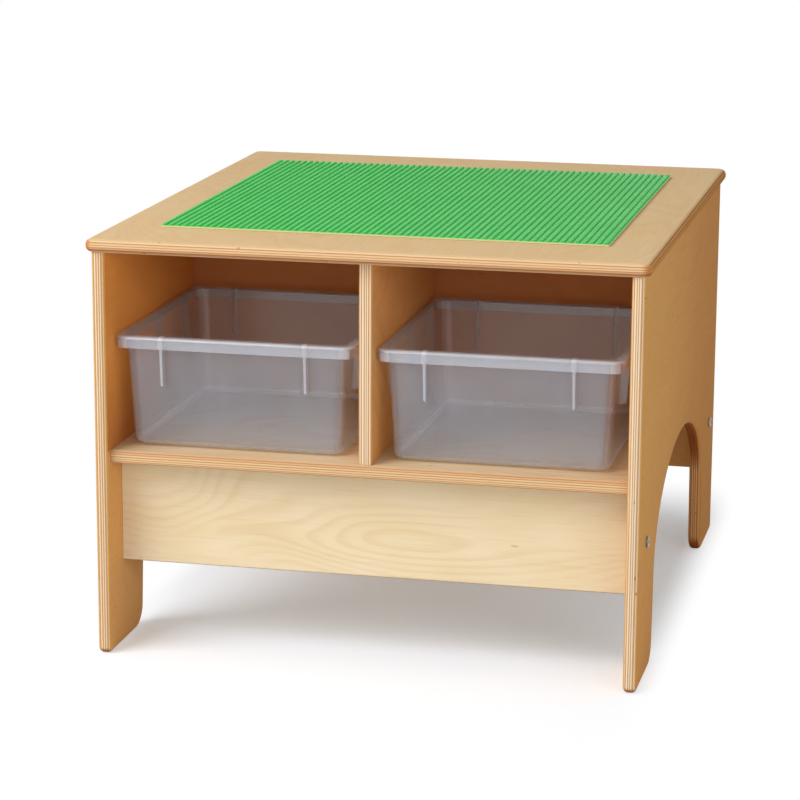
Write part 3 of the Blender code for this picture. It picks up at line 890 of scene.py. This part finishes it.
def settle(piece):
    """Make what a piece's modifiers show its plain mesh."""
    depsgraph = bpy.context.evaluated_depsgraph_get()
    evaluated = piece.evaluated_get(depsgraph)
    mesh = bpy.data.meshes.new_from_object(
        evaluated, preserve_all_data_layers=True, depsgraph=depsgraph
    )
    piece.modifiers.clear()
    worn_out = piece.data
    piece.data = mesh
    bpy.data.meshes.remove(worn_out)
    mesh.name = piece.name


def remove(piece):
    mesh = piece.data
    bpy.data.objects.remove(piece)
    bpy.data.meshes.remove(mesh)


def combine(piece, tool, operation):
    """Cut the tool from the piece, or join it on, and remove the tool."""
    step = piece.modifiers.new("Combine", "BOOLEAN")
    step.object = tool
    step.operation = operation
    step.solver = "EXACT"
    settle(piece)
    remove(tool)


def keep_edges_sharp(piece):
    """Shade round surfaces smooth and leave real edges sharp."""
    piece.data.shade_smooth()
    piece.data.set_sharp_from_angle(angle=SHARP_ANGLE)


def smooth(piece):
    """Shade round edges smooth and keep flat faces flat."""
    keep_edges_sharp(piece)
    step = piece.modifiers.new("Weighted normals", "WEIGHTED_NORMAL")
    step.keep_sharp = True
    step.weight = 100
    settle(piece)


def dress(piece, material, slot, body, *nodes):
    """Give a finished piece its material, its place in the frame and the nodes it stands for."""
    piece.data.materials.clear()
    piece.data.materials.append(material)
    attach(piece, body)
    if nodes:
        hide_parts(*nodes)
    return piece


# Repeated shapes


def add_inputs(tree, inputs):
    for name, kind in inputs:
        tree.interface.new_socket(name, in_out="INPUT", socket_type="NodeSocket" + kind)
    tree.interface.new_socket("Geometry", in_out="OUTPUT", socket_type="NodeSocketGeometry")


def rows_tree():
    """Geometry Nodes that set out a pattern on a grid, each copy turned to face outwards."""
    tree = bpy.data.node_groups.get("Pattern in rows")
    if tree:
        return tree
    tree = bpy.data.node_groups.new("Pattern in rows", "GeometryNodeTree")
    add_inputs(tree, [
        ("Geometry", "Geometry"), ("Pattern", "Object"), ("Columns", "Int"), ("Rows", "Int"),
        ("Column pitch", "Float"), ("Row pitch", "Float"), ("Middle", "Vector"),
        ("Facing", "Vector"), ("Material", "Material"),
    ])
    graph = Graph(tree)
    given = graph.node("NodeGroupInput", {}, {})
    columns, rows = given.output("Columns"), given.output("Rows")
    grid = graph.node("GeometryNodeMeshGrid", {}, {
        "Size X": (columns - 1) * given.output("Column pitch"),
        "Size Y": (rows - 1) * given.output("Row pitch"),
        "Vertices X": columns, "Vertices Y": rows,
    })
    spots = graph.node("GeometryNodeSetPosition", {}, {
        "Geometry": grid, "Offset": given.output("Middle"),
    })
    spot = graph.node("GeometryNodeInputPosition", {}, {})
    outward = graph.node("ShaderNodeVectorMath", {"operation": "MULTIPLY"}, {
        0: spot, 1: given.output("Facing"),
    })
    turn = graph.node(
        "FunctionNodeAlignRotationToVector", {"axis": "X", "pivot_axis": "Z"}, {"Vector": outward}
    )
    pattern = graph.node("GeometryNodeObjectInfo", {}, {"Object": given.output("Pattern")})
    copies = graph.node("GeometryNodeInstanceOnPoints", {}, {
        "Points": spots, "Instance": pattern.output("Geometry"), "Rotation": turn,
    })
    real = graph.node("GeometryNodeRealizeInstances", {}, {"Geometry": copies})
    finished = graph.node("GeometryNodeSetMaterial", {}, {
        "Geometry": real, "Material": given.output("Material"),
    })
    graph.node("NodeGroupOutput", {}, {"Geometry": finished})
    return tree


def in_rows(name, pattern, material, columns, rows, pitch, middle, facing=(0.0, 0.0, 0.0)):
    """Set out copies of the pattern and turn them into one plain mesh."""
    piece = shape(name, bmesh.new())
    step = piece.modifiers.new("Rows", "NODES")
    step.node_group = rows_tree()
    given = {
        "Pattern": pattern, "Columns": columns, "Rows": rows, "Column pitch": pitch[0],
        "Row pitch": pitch[1], "Middle": tuple(middle), "Facing": facing, "Material": material,
    }
    for item in step.node_group.interface.items_tree:
        if item.in_out == "INPUT" and item.name in given:
            step[item.identifier] = given[item.name]
    settle(piece)
    return piece


# Boards


def touches(first, second):
    """Whether two boxes overlap."""
    return all(first[0][axis] < second[1][axis] and second[0][axis] < first[1][axis]
               for axis in (X, Y, Z))


def drilled(piece, board, fasteners):
    """Bore a board for each dowel, bolt and barrel nut of the frame that enters it."""
    holes = []
    for node, (low, high) in BOX.items():
        middle, size = (low + high) / 2, high - low
        if not touches((low, high), BOX[board]):
            continue
        if "dowel" in node:
            axis = max((X, Y, Z), key=lambda side: size[side])
            others = [size[side] for side in (X, Y, Z) if side != axis]
            profile = rod_profile(max(others) / 2 + GAP, size[axis] / 2 + GAP, DOWEL_CHAMFER)
            holes.append(turned(profile, middle, unit(axis), DOWEL_SIDES))
        elif "bolt" in node:
            profile = rod_profile(fasteners.shank / 2 + GAP, size.x / 2 + OVERCUT, GAP)
            holes.append(turned(profile, middle, unit(X), BORE_SIDES))
        elif "nut" in node:
            inward = -math.copysign(1, middle.y)
            profile = rod_profile(size.x / 2 + GAP, size.y / 2 + OVERCUT, GAP)
            mouth = middle + unit(Y, inward * OVERCUT)
            holes.append(turned(profile, mouth, unit(Y), BORE_SIDES))
    if holes:
        combine(piece, shape("holes", gather(holes)), "DIFFERENCE")


def finish_board(piece, board, settings):
    """Bore a board for what enters it, and give it its plywood."""
    drilled(piece, board, settings.fasteners)
    smooth(piece)
    return dress(piece, plywood(board, settings.wood), "birch_plywood", "table", board)


def eased_board(name, board, settings, wanted):
    """A plain board that is eased along the wanted edges."""
    bm = block(*BOX[board])
    round_edges(bm, settings.boards.board_ease, EASE_STEPS, wanted)
    return finish_board(shape(name, bm), board, settings)


def side_outline(sizes):
    """Outline of a side panel, looking along X: two tapered legs with an arch between."""
    foot_inner = FRONT + sizes.leg_at_floor
    spring = FRONT + sizes.leg_at_spring
    front_half = [Vector((FRONT, PANEL_TOP))]
    front_half += fillet(
        (FRONT, PANEL_TOP), (FRONT, 0), (foot_inner, 0), sizes.foot_outer, ROUND_STEPS
    )
    front_half += fillet(
        (FRONT, 0), (foot_inner, 0), (spring, sizes.arch_spring), sizes.foot_inner, FOOT_STEPS
    )
    for angle in quarter_turn(ARCH_STEPS)[:-1]:
        height = sizes.arch_spring + sizes.arch_rise * math.sin(angle)
        front_half.append(Vector((spring * math.cos(angle), height)))
    crown = [Vector((0, sizes.arch_spring + sizes.arch_rise))]
    back_half = [Vector((-point.x, point.y)) for point in reversed(front_half)]
    return front_half + crown + back_half


def partition_groove(side, sizes):
    """Space of the groove that a side panel has for the partition's end."""
    inner = side * (PANEL_FACE - OVERCUT)
    bottom = side * (PANEL_FACE + sizes.groove)
    half = PARTITION / 2 + GAP
    low = (min(inner, bottom), -half, SHELF_TOP)
    high = (max(inner, bottom), half, PANEL_TOP + PLY)
    return shape("groove", block(low, high))


class BLOCKTABLE_OT_table_top(bpy.types.Operator):
    """Make the solid top with its bullnose edge"""

    bl_idname = "block_table.table_top"
    bl_label = "Table Top"
    bl_options = {"REGISTER", "UNDO"}

    def execute(self, context):
        settings = context.scene.block_table
        sizes = settings.boards
        low, high = BOX["table_top"]
        outline = rounded_rectangle(high.x, high.y, sizes.top_corner, CORNER_STEPS)
        bm = prism(outline, Z, low.z, high.z)

        def around_a_face(middle, direction):
            return not runs_along(direction, Z)

        round_edges(bm, sizes.top_nose, NOSE_STEPS, around_a_face)
        finish_board(shape("top_board", bm), "table_top", settings)
        return {"FINISHED"}


class BLOCKTABLE_OT_side_panels(bpy.types.Operator):
    """Make the two side panels, each with an arch between its legs"""

    bl_idname = "block_table.side_panels"
    bl_label = "Side Panels"
    bl_options = {"REGISTER", "UNDO"}

    def execute(self, context):
        settings = context.scene.block_table
        sizes = settings.boards

        def below_the_top(middle, direction):
            return not runs_along(direction, X) and middle.z < PANEL_TOP - WELD

        for hand, side in (("left", -1), ("right", 1)):
            board = "side_panel_" + hand
            low, high = BOX[board]
            bm = prism(side_outline(sizes), X, low.x, high.x)
            round_edges(bm, sizes.panel_round, PANEL_STEPS, below_the_top)
            piece = shape("side_board_" + hand, bm)
            combine(piece, partition_groove(side, sizes), "DIFFERENCE")
            finish_board(piece, board, settings)
        return {"FINISHED"}


class BLOCKTABLE_OT_shelf(bpy.types.Operator):
    """Make the shelf that the tubs stand on"""

    bl_idname = "block_table.shelf"
    bl_label = "Shelf"
    bl_options = {"REGISTER", "UNDO"}

    def execute(self, context):
        def along_front_or_back(middle, direction):
            return runs_along(direction, X)

        eased_board("shelf_board", "shelf", context.scene.block_table, along_front_or_back)
        return {"FINISHED"}


class BLOCKTABLE_OT_centre_partition(bpy.types.Operator):
    """Make the thin partition between the front and back compartments"""

    bl_idname = "block_table.centre_partition"
    bl_label = "Centre Partition"
    bl_options = {"REGISTER", "UNDO"}

    def execute(self, context):
        board = "centre_partition"
        piece = shape("partition_board", block(*BOX[board]))
        finish_board(piece, board, context.scene.block_table)
        return {"FINISHED"}


class BLOCKTABLE_OT_dividers(bpy.types.Operator):
    """Make the upright between the two compartments of the front and of the back"""

    bl_idname = "block_table.dividers"
    bl_label = "Dividers"
    bl_options = {"REGISTER", "UNDO"}

    def execute(self, context):
        def up_the_open_edge(middle, direction):
            return runs_along(direction, Z) and abs(middle.y) > PARTITION

        for end in ("front", "rear"):
            name = "divider_board_" + end
            eased_board(name, "divider_" + end, context.scene.block_table, up_the_open_edge)
        return {"FINISHED"}


class BLOCKTABLE_OT_aprons(bpy.types.Operator):
    """Make the front and rear rails under the shelf"""

    bl_idname = "block_table.aprons"
    bl_label = "Aprons"
    bl_options = {"REGISTER", "UNDO"}

    def execute(self, context):
        bottom = BOX["apron_front"][0].z

        def along_the_bottom(middle, direction):
            return runs_along(direction, X) and middle.z < bottom + WELD

        for end in ("front", "rear"):
            name = "apron_board_" + end
            eased_board(name, "apron_" + end, context.scene.block_table, along_the_bottom)
        return {"FINISHED"}


class BLOCKTABLE_OT_dowels(bpy.types.Operator):
    """Finish the wood dowels that the joints hide"""

    bl_idname = "block_table.dowels"
    bl_label = "Dowels"
    bl_options = {"REGISTER", "UNDO"}

    def execute(self, context):
        wood = beech(context.scene.block_table.wood)
        for name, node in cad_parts.items():
            if "dowel" in name:
                for material_slot in node.material_slots:
                    material_slot.material = wood
        return {"FINISHED"}


# Brick plate


def plate_sheet(plate, top):
    """The plate's thin sheet, without its studs."""
    half = PLATE_HIGH.x
    outline = rounded_rectangle(half, half, plate.corner, PLATE_CORNER_STEPS)
    bm = prism(outline, Z, PLATE_LOW.z, top)

    def around_the_top(middle, direction):
        return middle.z > top - WELD

    round_edges(bm, plate.edge, PLATE_EDGE_STEPS, around_the_top)
    return shape("plate_sheet", bm)


def plate_stud(plate):
    """One stud, with its foot just under the sheet's surface at the origin."""
    radius = plate.diameter / 2
    profile = [
        (radius, -GAP), (radius, plate.height - plate.chamfer),
        (radius - plate.chamfer, plate.height), (0, plate.height),
    ]
    stud = shape("stud", turned(profile, (0, 0, 0), (0, 0, 1), STUD_SIDES))
    keep_edges_sharp(stud)
    return stud


class BLOCKTABLE_OT_brick_plate(bpy.types.Operator):
    """Make the green plate: its sheet, and its studs in four quarters"""

    bl_idname = "block_table.brick_plate"
    bl_label = "Brick Plate"
    bl_options = {"REGISTER", "UNDO"}

    def execute(self, context):
        plate = context.scene.block_table.plate
        plastic = plate_plastic(plate)
        top = PLATE_HIGH.z - plate.height
        sheet = plate_sheet(plate, top)
        smooth(sheet)
        dress(sheet, plastic, "green_plate", "table", "brick_plate")

        stud = plate_stud(plate)
        half = PLATE_HIGH.x
        across = plate.studs // 2
        pitch = 2 * half / plate.studs
        for end, side_y in (("front", -1), ("rear", 1)):
            for hand, side_x in (("left", -1), ("right", 1)):
                middle = (side_x * half / 2, side_y * half / 2, top)
                name = f"plate_studs_{end}_{hand}"
                studs = in_rows(name, stud, plastic, across, across, (pitch, pitch), middle)
                dress(studs, plastic, "green_plate", "table")
        remove(stud)
        return {"FINISHED"}


# Tubs


def tub_sections(tub):
    """Rings of a tub from its underside, up the wall, over the rim and down to its floor.

    Each is (inset from the rim's outer edge, height, corner radius in plan).
    """
    foot = tub.rim + tub.draft
    top = TUB_SIZE.z
    rim_under = top - tub.wall
    lip_end = top - tub.lip
    inner_foot = foot + tub.wall
    inner_corner = tub.wall_corner - tub.wall
    inner_round = tub.bottom - tub.wall
    under_round = tub.rim_round - tub.wall
    outside, under_edge, edge, inside = [], [], [], []
    for angle in quarter_turn(ROUND_STEPS):
        pull = 1 - math.sin(angle)
        rise = 1 - math.cos(angle)
        corner = tub.wall_corner - tub.bottom * pull / 2
        outside.append((foot + tub.bottom * pull, tub.bottom * rise, corner))
        inset = inner_foot + inner_round * pull
        height = tub.wall + inner_round * rise
        inside.append((inset, height, inner_corner - inner_round * pull / 2))
    for angle in quarter_turn(RIM_STEPS):
        pull = 1 - math.cos(angle)
        drop = 1 - math.sin(angle)
        inset = tub.rim_round * pull
        edge.append((inset, top - tub.rim_round * drop, tub.rim_corner - inset))
        inset = tub.wall + under_round * pull
        under_edge.append((inset, rim_under - under_round * drop, tub.rim_corner - inset))
    under_rim = [(tub.rim, rim_under, tub.wall_corner)] + under_edge[::-1]
    lip = [(tub.wall, lip_end, tub.rim_corner - tub.wall), (0, lip_end, tub.rim_corner)]
    over_rim = [(tub.rim, top, tub.wall_corner)]
    for angle in quarter_turn(EASE_STEPS)[1:]:
        inset = tub.rim + tub.wall * math.sin(angle)
        height = top - tub.wall * (1 - math.cos(angle))
        over_rim.append((inset, height, tub.wall_corner - tub.wall * math.sin(angle)))
    return outside + under_rim + lip + edge + over_rim + inside[::-1]


def tub_rib(tub):
    """A fin from the lip back to the wall, with the rim's outer edge at the origin.

    It faces towards +X and is thinner towards its toe.
    """
    slope = tub.draft / (TUB_SIZE.z - tub.wall - tub.bottom)
    top = TUB_SIZE.z - tub.wall / 2
    toe = top - tub.rib_length
    top_inset = tub.rim + tub.wall / 2
    toe_inset = top_inset + slope * tub.rib_length
    outline = [
        (-top_inset, top), (-tub.rim_round, top), (-tub.rib_inset, TUB_SIZE.z - tub.rim_round),
        (-tub.rib_toe_inset, toe + tub.rib_toe), (-toe_inset, toe),
    ]
    bm = prism(outline, Y, -tub.rib_width / 2, tub.rib_width / 2)
    for vert in bm.verts:
        down = (top - vert.co.z) / tub.rib_length
        vert.co.y *= 1 + down * (tub.rib_toe_width / tub.rib_width - 1)
    return shape("rib", bm)


def rib_places(tub, side):
    """Middles of the ribs along a wall that runs along the axis."""
    if side == X:
        return (-tub.front_pitch / 2, tub.front_pitch / 2)
    return (-tub.side_pitch, 0.0, tub.side_pitch)


def tub_ring(tub, inset, height, corner):
    """One ring of a tub, with a point at each edge of every rib."""
    half_x, half_y = TUB_SIZE.x / 2 - inset, TUB_SIZE.y / 2 - inset
    half_rib = tub.rib_width / 2 + RIB_MARGIN
    stops = {}
    for side in (X, Y):
        stops[side] = [place + edge for place in rib_places(tub, side)
                       for edge in (-half_rib, half_rib)]
    sides = (
        [Vector((stop, half_y)) for stop in reversed(stops[X])],
        [Vector((-half_x, stop)) for stop in reversed(stops[Y])],
        [Vector((stop, -half_y)) for stop in stops[X]],
        [Vector((half_x, stop)) for stop in stops[Y]],
    )
    rounded = rounded_rectangle(half_x, half_y, corner, CORNER_STEPS)
    quarter = len(rounded) // len(sides)
    flat = []
    for index, straight in enumerate(sides):
        flat += rounded[index * quarter:(index + 1) * quarter] + straight
    return [(point.x, point.y, height) for point in flat]


def mark_cover(mesh, tub):
    """Store on each face how much of the light its plastic stops: wall, rim or rib."""
    cover = mesh.attributes.new("cover", "FLOAT", "FACE")
    lip_end = TUB_SIZE.z - tub.lip
    slope = tub.draft / (TUB_SIZE.z - tub.wall - tub.bottom)
    for face in mesh.polygons:
        middle = face.center
        inset_x = TUB_SIZE.x / 2 - abs(middle.x)
        inset_y = TUB_SIZE.y / 2 - abs(middle.y)
        inset = min(inset_x, inset_y)
        side = Y if inset_x < inset_y else X
        to_rib = min(abs(middle[side] - place) for place in rib_places(tub, side))
        wall_inset = tub.rim + slope * (TUB_SIZE.z - middle.z)
        stands_out = inset < wall_inset - STAND_OUT
        under_rim = middle.z < TUB_SIZE.z - tub.rim_round - WELD
        rib_cover = tub.rib_cover if side == X else tub.side_rib_cover
        level = tub.wall_cover
        if stands_out:
            level = tub.rim_cover
            if to_rib < tub.rib_width / 2:
                level += rib_cover * RIB_OVER_RIM
        if stands_out and under_rim and (middle.z < lip_end or inset > tub.wall + WELD):
            level = rib_cover
        if stands_out or middle.z < lip_end:
            lean = face.normal.z ** 2
            level += tub.round_cover * 4 * lean * (1 - lean)
        if not stands_out:
            corner = 2 * abs(face.normal.x * face.normal.y)
            level += tub.corner_cover * corner ** CORNER_SHARPNESS
        cover.data[face.index].value = level


def tub_shell(tub, plastic):
    """One tub with its ribs, its foot on the origin."""
    rings = [tub_ring(tub, *section) for section in tub_sections(tub)]
    shell = shape("tub_shell", loft(rings))
    rib = tub_rib(tub)
    rows = (
        ("end_ribs", 2, (tub.front_pitch, TUB_SIZE.y), (0, 1, 0)),
        ("side_ribs", 3, (TUB_SIZE.x, tub.side_pitch), (1, 0, 0)),
    )
    for name, count_along, pitch, facing in rows:
        ribs = in_rows(name, rib, plastic, 2, count_along, pitch, (0, 0, 0), facing)
        combine(shell, ribs, "UNION")
    remove(rib)
    mark_cover(shell.data, tub)
    smooth(shell)
    return shell


class BLOCKTABLE_OT_tubs(bpy.types.Operator):
    """Make the four translucent tubs, each with its ribs"""

    bl_idname = "block_table.tubs"
    bl_label = "Tubs"
    bl_options = {"REGISTER", "UNDO"}

    def execute(self, context):
        tub = context.scene.block_table.tub
        plastic = tub_plastic(tub)
        shell = tub_shell(tub, plastic)
        for node in TUBS:
            low, high = BOX[node]
            mesh = shell.data.copy()
            origin = Vector(((low.x + high.x) / 2, (low.y + high.y) / 2, low.z))
            mesh.transform(Matrix.Translation(origin))
            piece = bpy.data.objects.new(node.replace("tub", "tub_shell"), mesh)
            context.scene.collection.objects.link(piece)
            dress(piece, plastic, "clear_plastic", node, node)
        remove(shell)
        return {"FINISHED"}


# Fasteners


def bolt_profile(sizes, length_along):
    """Half section of a connector bolt, from its point to the crown of its head."""
    head, shank, flat = sizes.head / 2, sizes.shank / 2, sizes.head_flat / 2
    profile = [
        (0, -length_along), (shank - sizes.point, -length_along),
        (shank, sizes.point - length_along), (shank, 0), (head, 0),
    ]
    for angle in quarter_turn(ROUND_STEPS):
        radius = flat + (head - flat) * math.cos(angle)
        height = sizes.head_edge + (sizes.head_thick - sizes.head_edge) * math.sin(angle)
        profile.append((radius, height))
    profile.append((0, sizes.head_thick))
    return profile


def one_at_each_end(name, part, node, material, pitch, facing):
    """Set out a fastener at both ends of both aprons and finish all four as one piece."""
    keep_edges_sharp(part)
    low, high = BOX[f"{node}_rear_right"]
    middle = (0, 0, (low.z + high.z) / 2)
    pieces = in_rows(name, part, material, 2, 2, pitch, middle, facing)
    remove(part)
    nodes = [f"{node}_{end}" for end in ENDS]
    dress(pieces, material, "nickel_steel", "table", *nodes)


class BLOCKTABLE_OT_connector_bolts(bpy.types.Operator):
    """Make the four connector bolts with their hexagon sockets"""

    bl_idname = "block_table.connector_bolts"
    bl_label = "Connector Bolts"
    bl_options = {"REGISTER", "UNDO"}

    def execute(self, context):
        sizes = context.scene.block_table.fasteners
        low, high = BOX["connector_bolt_rear_right"]
        seat = high.x - sizes.head_thick
        profile = bolt_profile(sizes, seat - low.x)
        bolt = shape("bolt", turned(profile, (0, 0, 0), (1, 0, 0), BOLT_SIDES))
        corner = sizes.socket / 2 / math.cos(math.pi / HEXAGON)
        hexagon = rod_profile(corner, sizes.socket_depth, SOCKET_CHAMFER)
        crown = (sizes.head_thick, 0, 0)
        socket = shape("socket", turned(hexagon, crown, (1, 0, 0), HEXAGON))
        combine(bolt, socket, "DIFFERENCE")
        pitch = (2 * seat, low.y + high.y)
        one_at_each_end(
            "connector_bolts", bolt, "connector_bolt", nickel_plate(sizes), pitch, (1, 0, 0)
        )
        return {"FINISHED"}


class BLOCKTABLE_OT_barrel_nuts(bpy.types.Operator):
    """Make the four slotted barrel nuts that the bolts screw into"""

    bl_idname = "block_table.barrel_nuts"
    bl_label = "Barrel Nuts"
    bl_options = {"REGISTER", "UNDO"}

    def execute(self, context):
        sizes = context.scene.block_table.fasteners
        low, high = BOX["barrel_nut_rear_right"]
        size = high - low
        half = size.y / 2
        barrel = rod_profile(size.x / 2, half, NUT_CHAMFER)
        nut = shape("nut", turned(barrel, (0, 0, 0), (1, 0, 0), NUT_SIDES))
        reach = Vector((sizes.slot, size.x, sizes.slot)) / 2
        face = Vector((-half, 0, 0))
        slot = shape("slot", block(face - reach, face + reach))
        thread = rod_profile(sizes.shank / 2 + GAP, size.x, GAP)
        bore = shape("bore", turned(thread, (0, 0, 0), (0, 1, 0), BORE_SIDES))
        combine(nut, slot, "DIFFERENCE")
        combine(nut, bore, "DIFFERENCE")
        nickel = bpy.data.materials["nickel_plate"]
        pitch = (low.x + high.x, low.y + high.y)
        one_at_each_end("barrel_nuts", nut, "barrel_nut", nickel, pitch, (0, 1, 0))
        return {"FINISHED"}


# Stage


def seen_directly(graph):
    """1 for the rays by which the eye, metal and clear plastic see the background."""
    path = graph.node("ShaderNodeLightPath", {}, {})
    rays = path.output("Is Camera Ray") + path.output("Is Glossy Ray")
    return (rays + path.output("Is Transmission Ray")).within(0.0, 1.0)


def floor_finish(stage):
    """Pale floor that keeps the table's shadow and fades to white away from it."""
    made, graph = new_material("floor")
    x, y, z = graph.coordinates().parts()
    beside = (abs(x) - PANEL_FACE + PLY).within(0.0, FAR_OFF) * stage.shadow_narrow
    before = (abs(y) + FRONT).within(0.0, FAR_OFF)
    far = ((beside ** 2 + before ** 2) ** 0.5).rise(stage.shadow_start, stage.shadow_end)
    seen = seen_directly(graph)
    matt = graph.node("ShaderNodeBsdfDiffuse", {}, {"Color": stage.floor})
    lift = graph.node("ShaderNodeEmission", {}, {"Strength": seen * stage.floor_lift})
    near = graph.node("ShaderNodeAddShader", {}, {0: matt, 1: lift})
    white = graph.node("ShaderNodeEmission", {}, {"Strength": 1.0})
    mixed = graph.node("ShaderNodeMixShader", {}, {0: far * seen, 1: near, 2: white})
    graph.node("ShaderNodeOutputMaterial", {}, {"Surface": mixed})
    return made


def lay_floor(stage):
    """A wide flat floor under the table."""
    reach = FLOOR_REACH
    corners = [(-reach, -reach, 0), (reach, -reach, 0), (reach, reach, 0), (-reach, reach, 0)]
    mesh = bpy.data.meshes.new("floor")
    mesh.from_pydata(corners, [], [(0, 1, 2, 3)])
    mesh.materials.append(floor_finish(stage))
    floor = bpy.data.objects.new("floor", mesh)
    bpy.context.scene.collection.objects.link(floor)


def light_room(stage):
    """An even room that the eye sees as white."""
    world = bpy.data.worlds.new("studio")
    bpy.context.scene.world = world
    world.use_nodes = True
    graph = Graph(world.node_tree)
    dim = graph.node("ShaderNodeBackground", {}, {"Strength": stage.fill})
    white = graph.node("ShaderNodeBackground", {}, {"Color": WHITE, "Strength": 1.0})
    mixed = graph.node("ShaderNodeMixShader", {}, {0: seen_directly(graph), 1: dim, 2: white})
    graph.node("ShaderNodeOutputWorld", {}, {"Surface": mixed})


def softbox(name, place, width, height, power):
    """A soft lamp that shines at the table's middle."""
    light = bpy.data.lights.new(name, "AREA")
    light.shape = "RECTANGLE"
    light.size = width
    light.size_y = height
    light.energy = power
    lamp = bpy.data.objects.new(name, light)
    lamp.location = place
    aim = Vector(LAMP_TARGET) - Vector(place)
    lamp.rotation_euler = aim.to_track_quat("-Z", "Y").to_euler()
    bpy.context.scene.collection.objects.link(lamp)


def set_camera(stage):
    """Look at the table from its front right, a little from above."""
    camera_data = bpy.data.cameras.new("camera")
    camera_data.lens = stage.lens
    camera_data.clip_end = VIEW_REACH
    camera = bpy.data.objects.new("camera", camera_data)
    turn = Matrix.Rotation(stage.yaw, 4, "Z")
    tilt = Matrix.Rotation(math.pi / 2 - stage.pitch, 4, "X")
    roll = Matrix.Rotation(stage.roll, 4, "Z")
    camera.matrix_world = Matrix.Translation(stage.camera) @ turn @ tilt @ roll
    bpy.context.scene.collection.objects.link(camera)
    bpy.context.scene.camera = camera


class BLOCKTABLE_OT_stage(bpy.types.Operator):
    """Make the floor, the lamps, the room and the camera"""

    bl_idname = "block_table.stage"
    bl_label = "Stage"
    bl_options = {"REGISTER", "UNDO"}

    def execute(self, context):
        stage = context.scene.block_table.stage
        context.scene.view_settings.view_transform = "Standard"
        lay_floor(stage)
        light_room(stage)
        for name, (place, width, height) in LAMPS.items():
            softbox(name, place, width, height, getattr(stage, name + "_power"))
        set_camera(stage)
        return {"FINISHED"}


OPERATORS = (
    BLOCKTABLE_OT_table_top,
    BLOCKTABLE_OT_side_panels,
    BLOCKTABLE_OT_shelf,
    BLOCKTABLE_OT_centre_partition,
    BLOCKTABLE_OT_dividers,
    BLOCKTABLE_OT_aprons,
    BLOCKTABLE_OT_dowels,
    BLOCKTABLE_OT_brick_plate,
    BLOCKTABLE_OT_tubs,
    BLOCKTABLE_OT_connector_bolts,
    BLOCKTABLE_OT_barrel_nuts,
    BLOCKTABLE_OT_stage,
)


class BLOCKTABLE_PT_pieces(bpy.types.Panel):
    """Lists the pieces of the table"""

    bl_idname = "BLOCKTABLE_PT_pieces"
    bl_label = "Building Block Table"
    bl_space_type = "VIEW_3D"
    bl_region_type = "UI"
    bl_category = "Block Table"

    def draw(self, context):
        for operator in OPERATORS:
            self.layout.operator(operator.bl_idname)


SETTINGS = (
    BoardSizes,
    WoodColours,
    PlateSizes,
    TubSizes,
    FastenerSizes,
    StageSettings,
    TableSettings,
)
CLASSES = (*SETTINGS, *OPERATORS, BLOCKTABLE_PT_pieces)


def register():
    for made in CLASSES:
        bpy.utils.register_class(made)
    bpy.types.Scene.block_table = PointerProperty(type=TableSettings)


def unregister():
    del bpy.types.Scene.block_table
    for made in reversed(CLASSES):
        bpy.utils.unregister_class(made)


def main():
    register()
    bpy.ops.block_table.table_top()
    bpy.ops.block_table.side_panels()
    bpy.ops.block_table.shelf()
    bpy.ops.block_table.centre_partition()
    bpy.ops.block_table.dividers()
    bpy.ops.block_table.aprons()
    bpy.ops.block_table.dowels()
    bpy.ops.block_table.brick_plate()
    bpy.ops.block_table.tubs()
    bpy.ops.block_table.connector_bolts()
    bpy.ops.block_table.barrel_nuts()
    bpy.ops.block_table.stage()


if __name__ == "__main__":
    main()
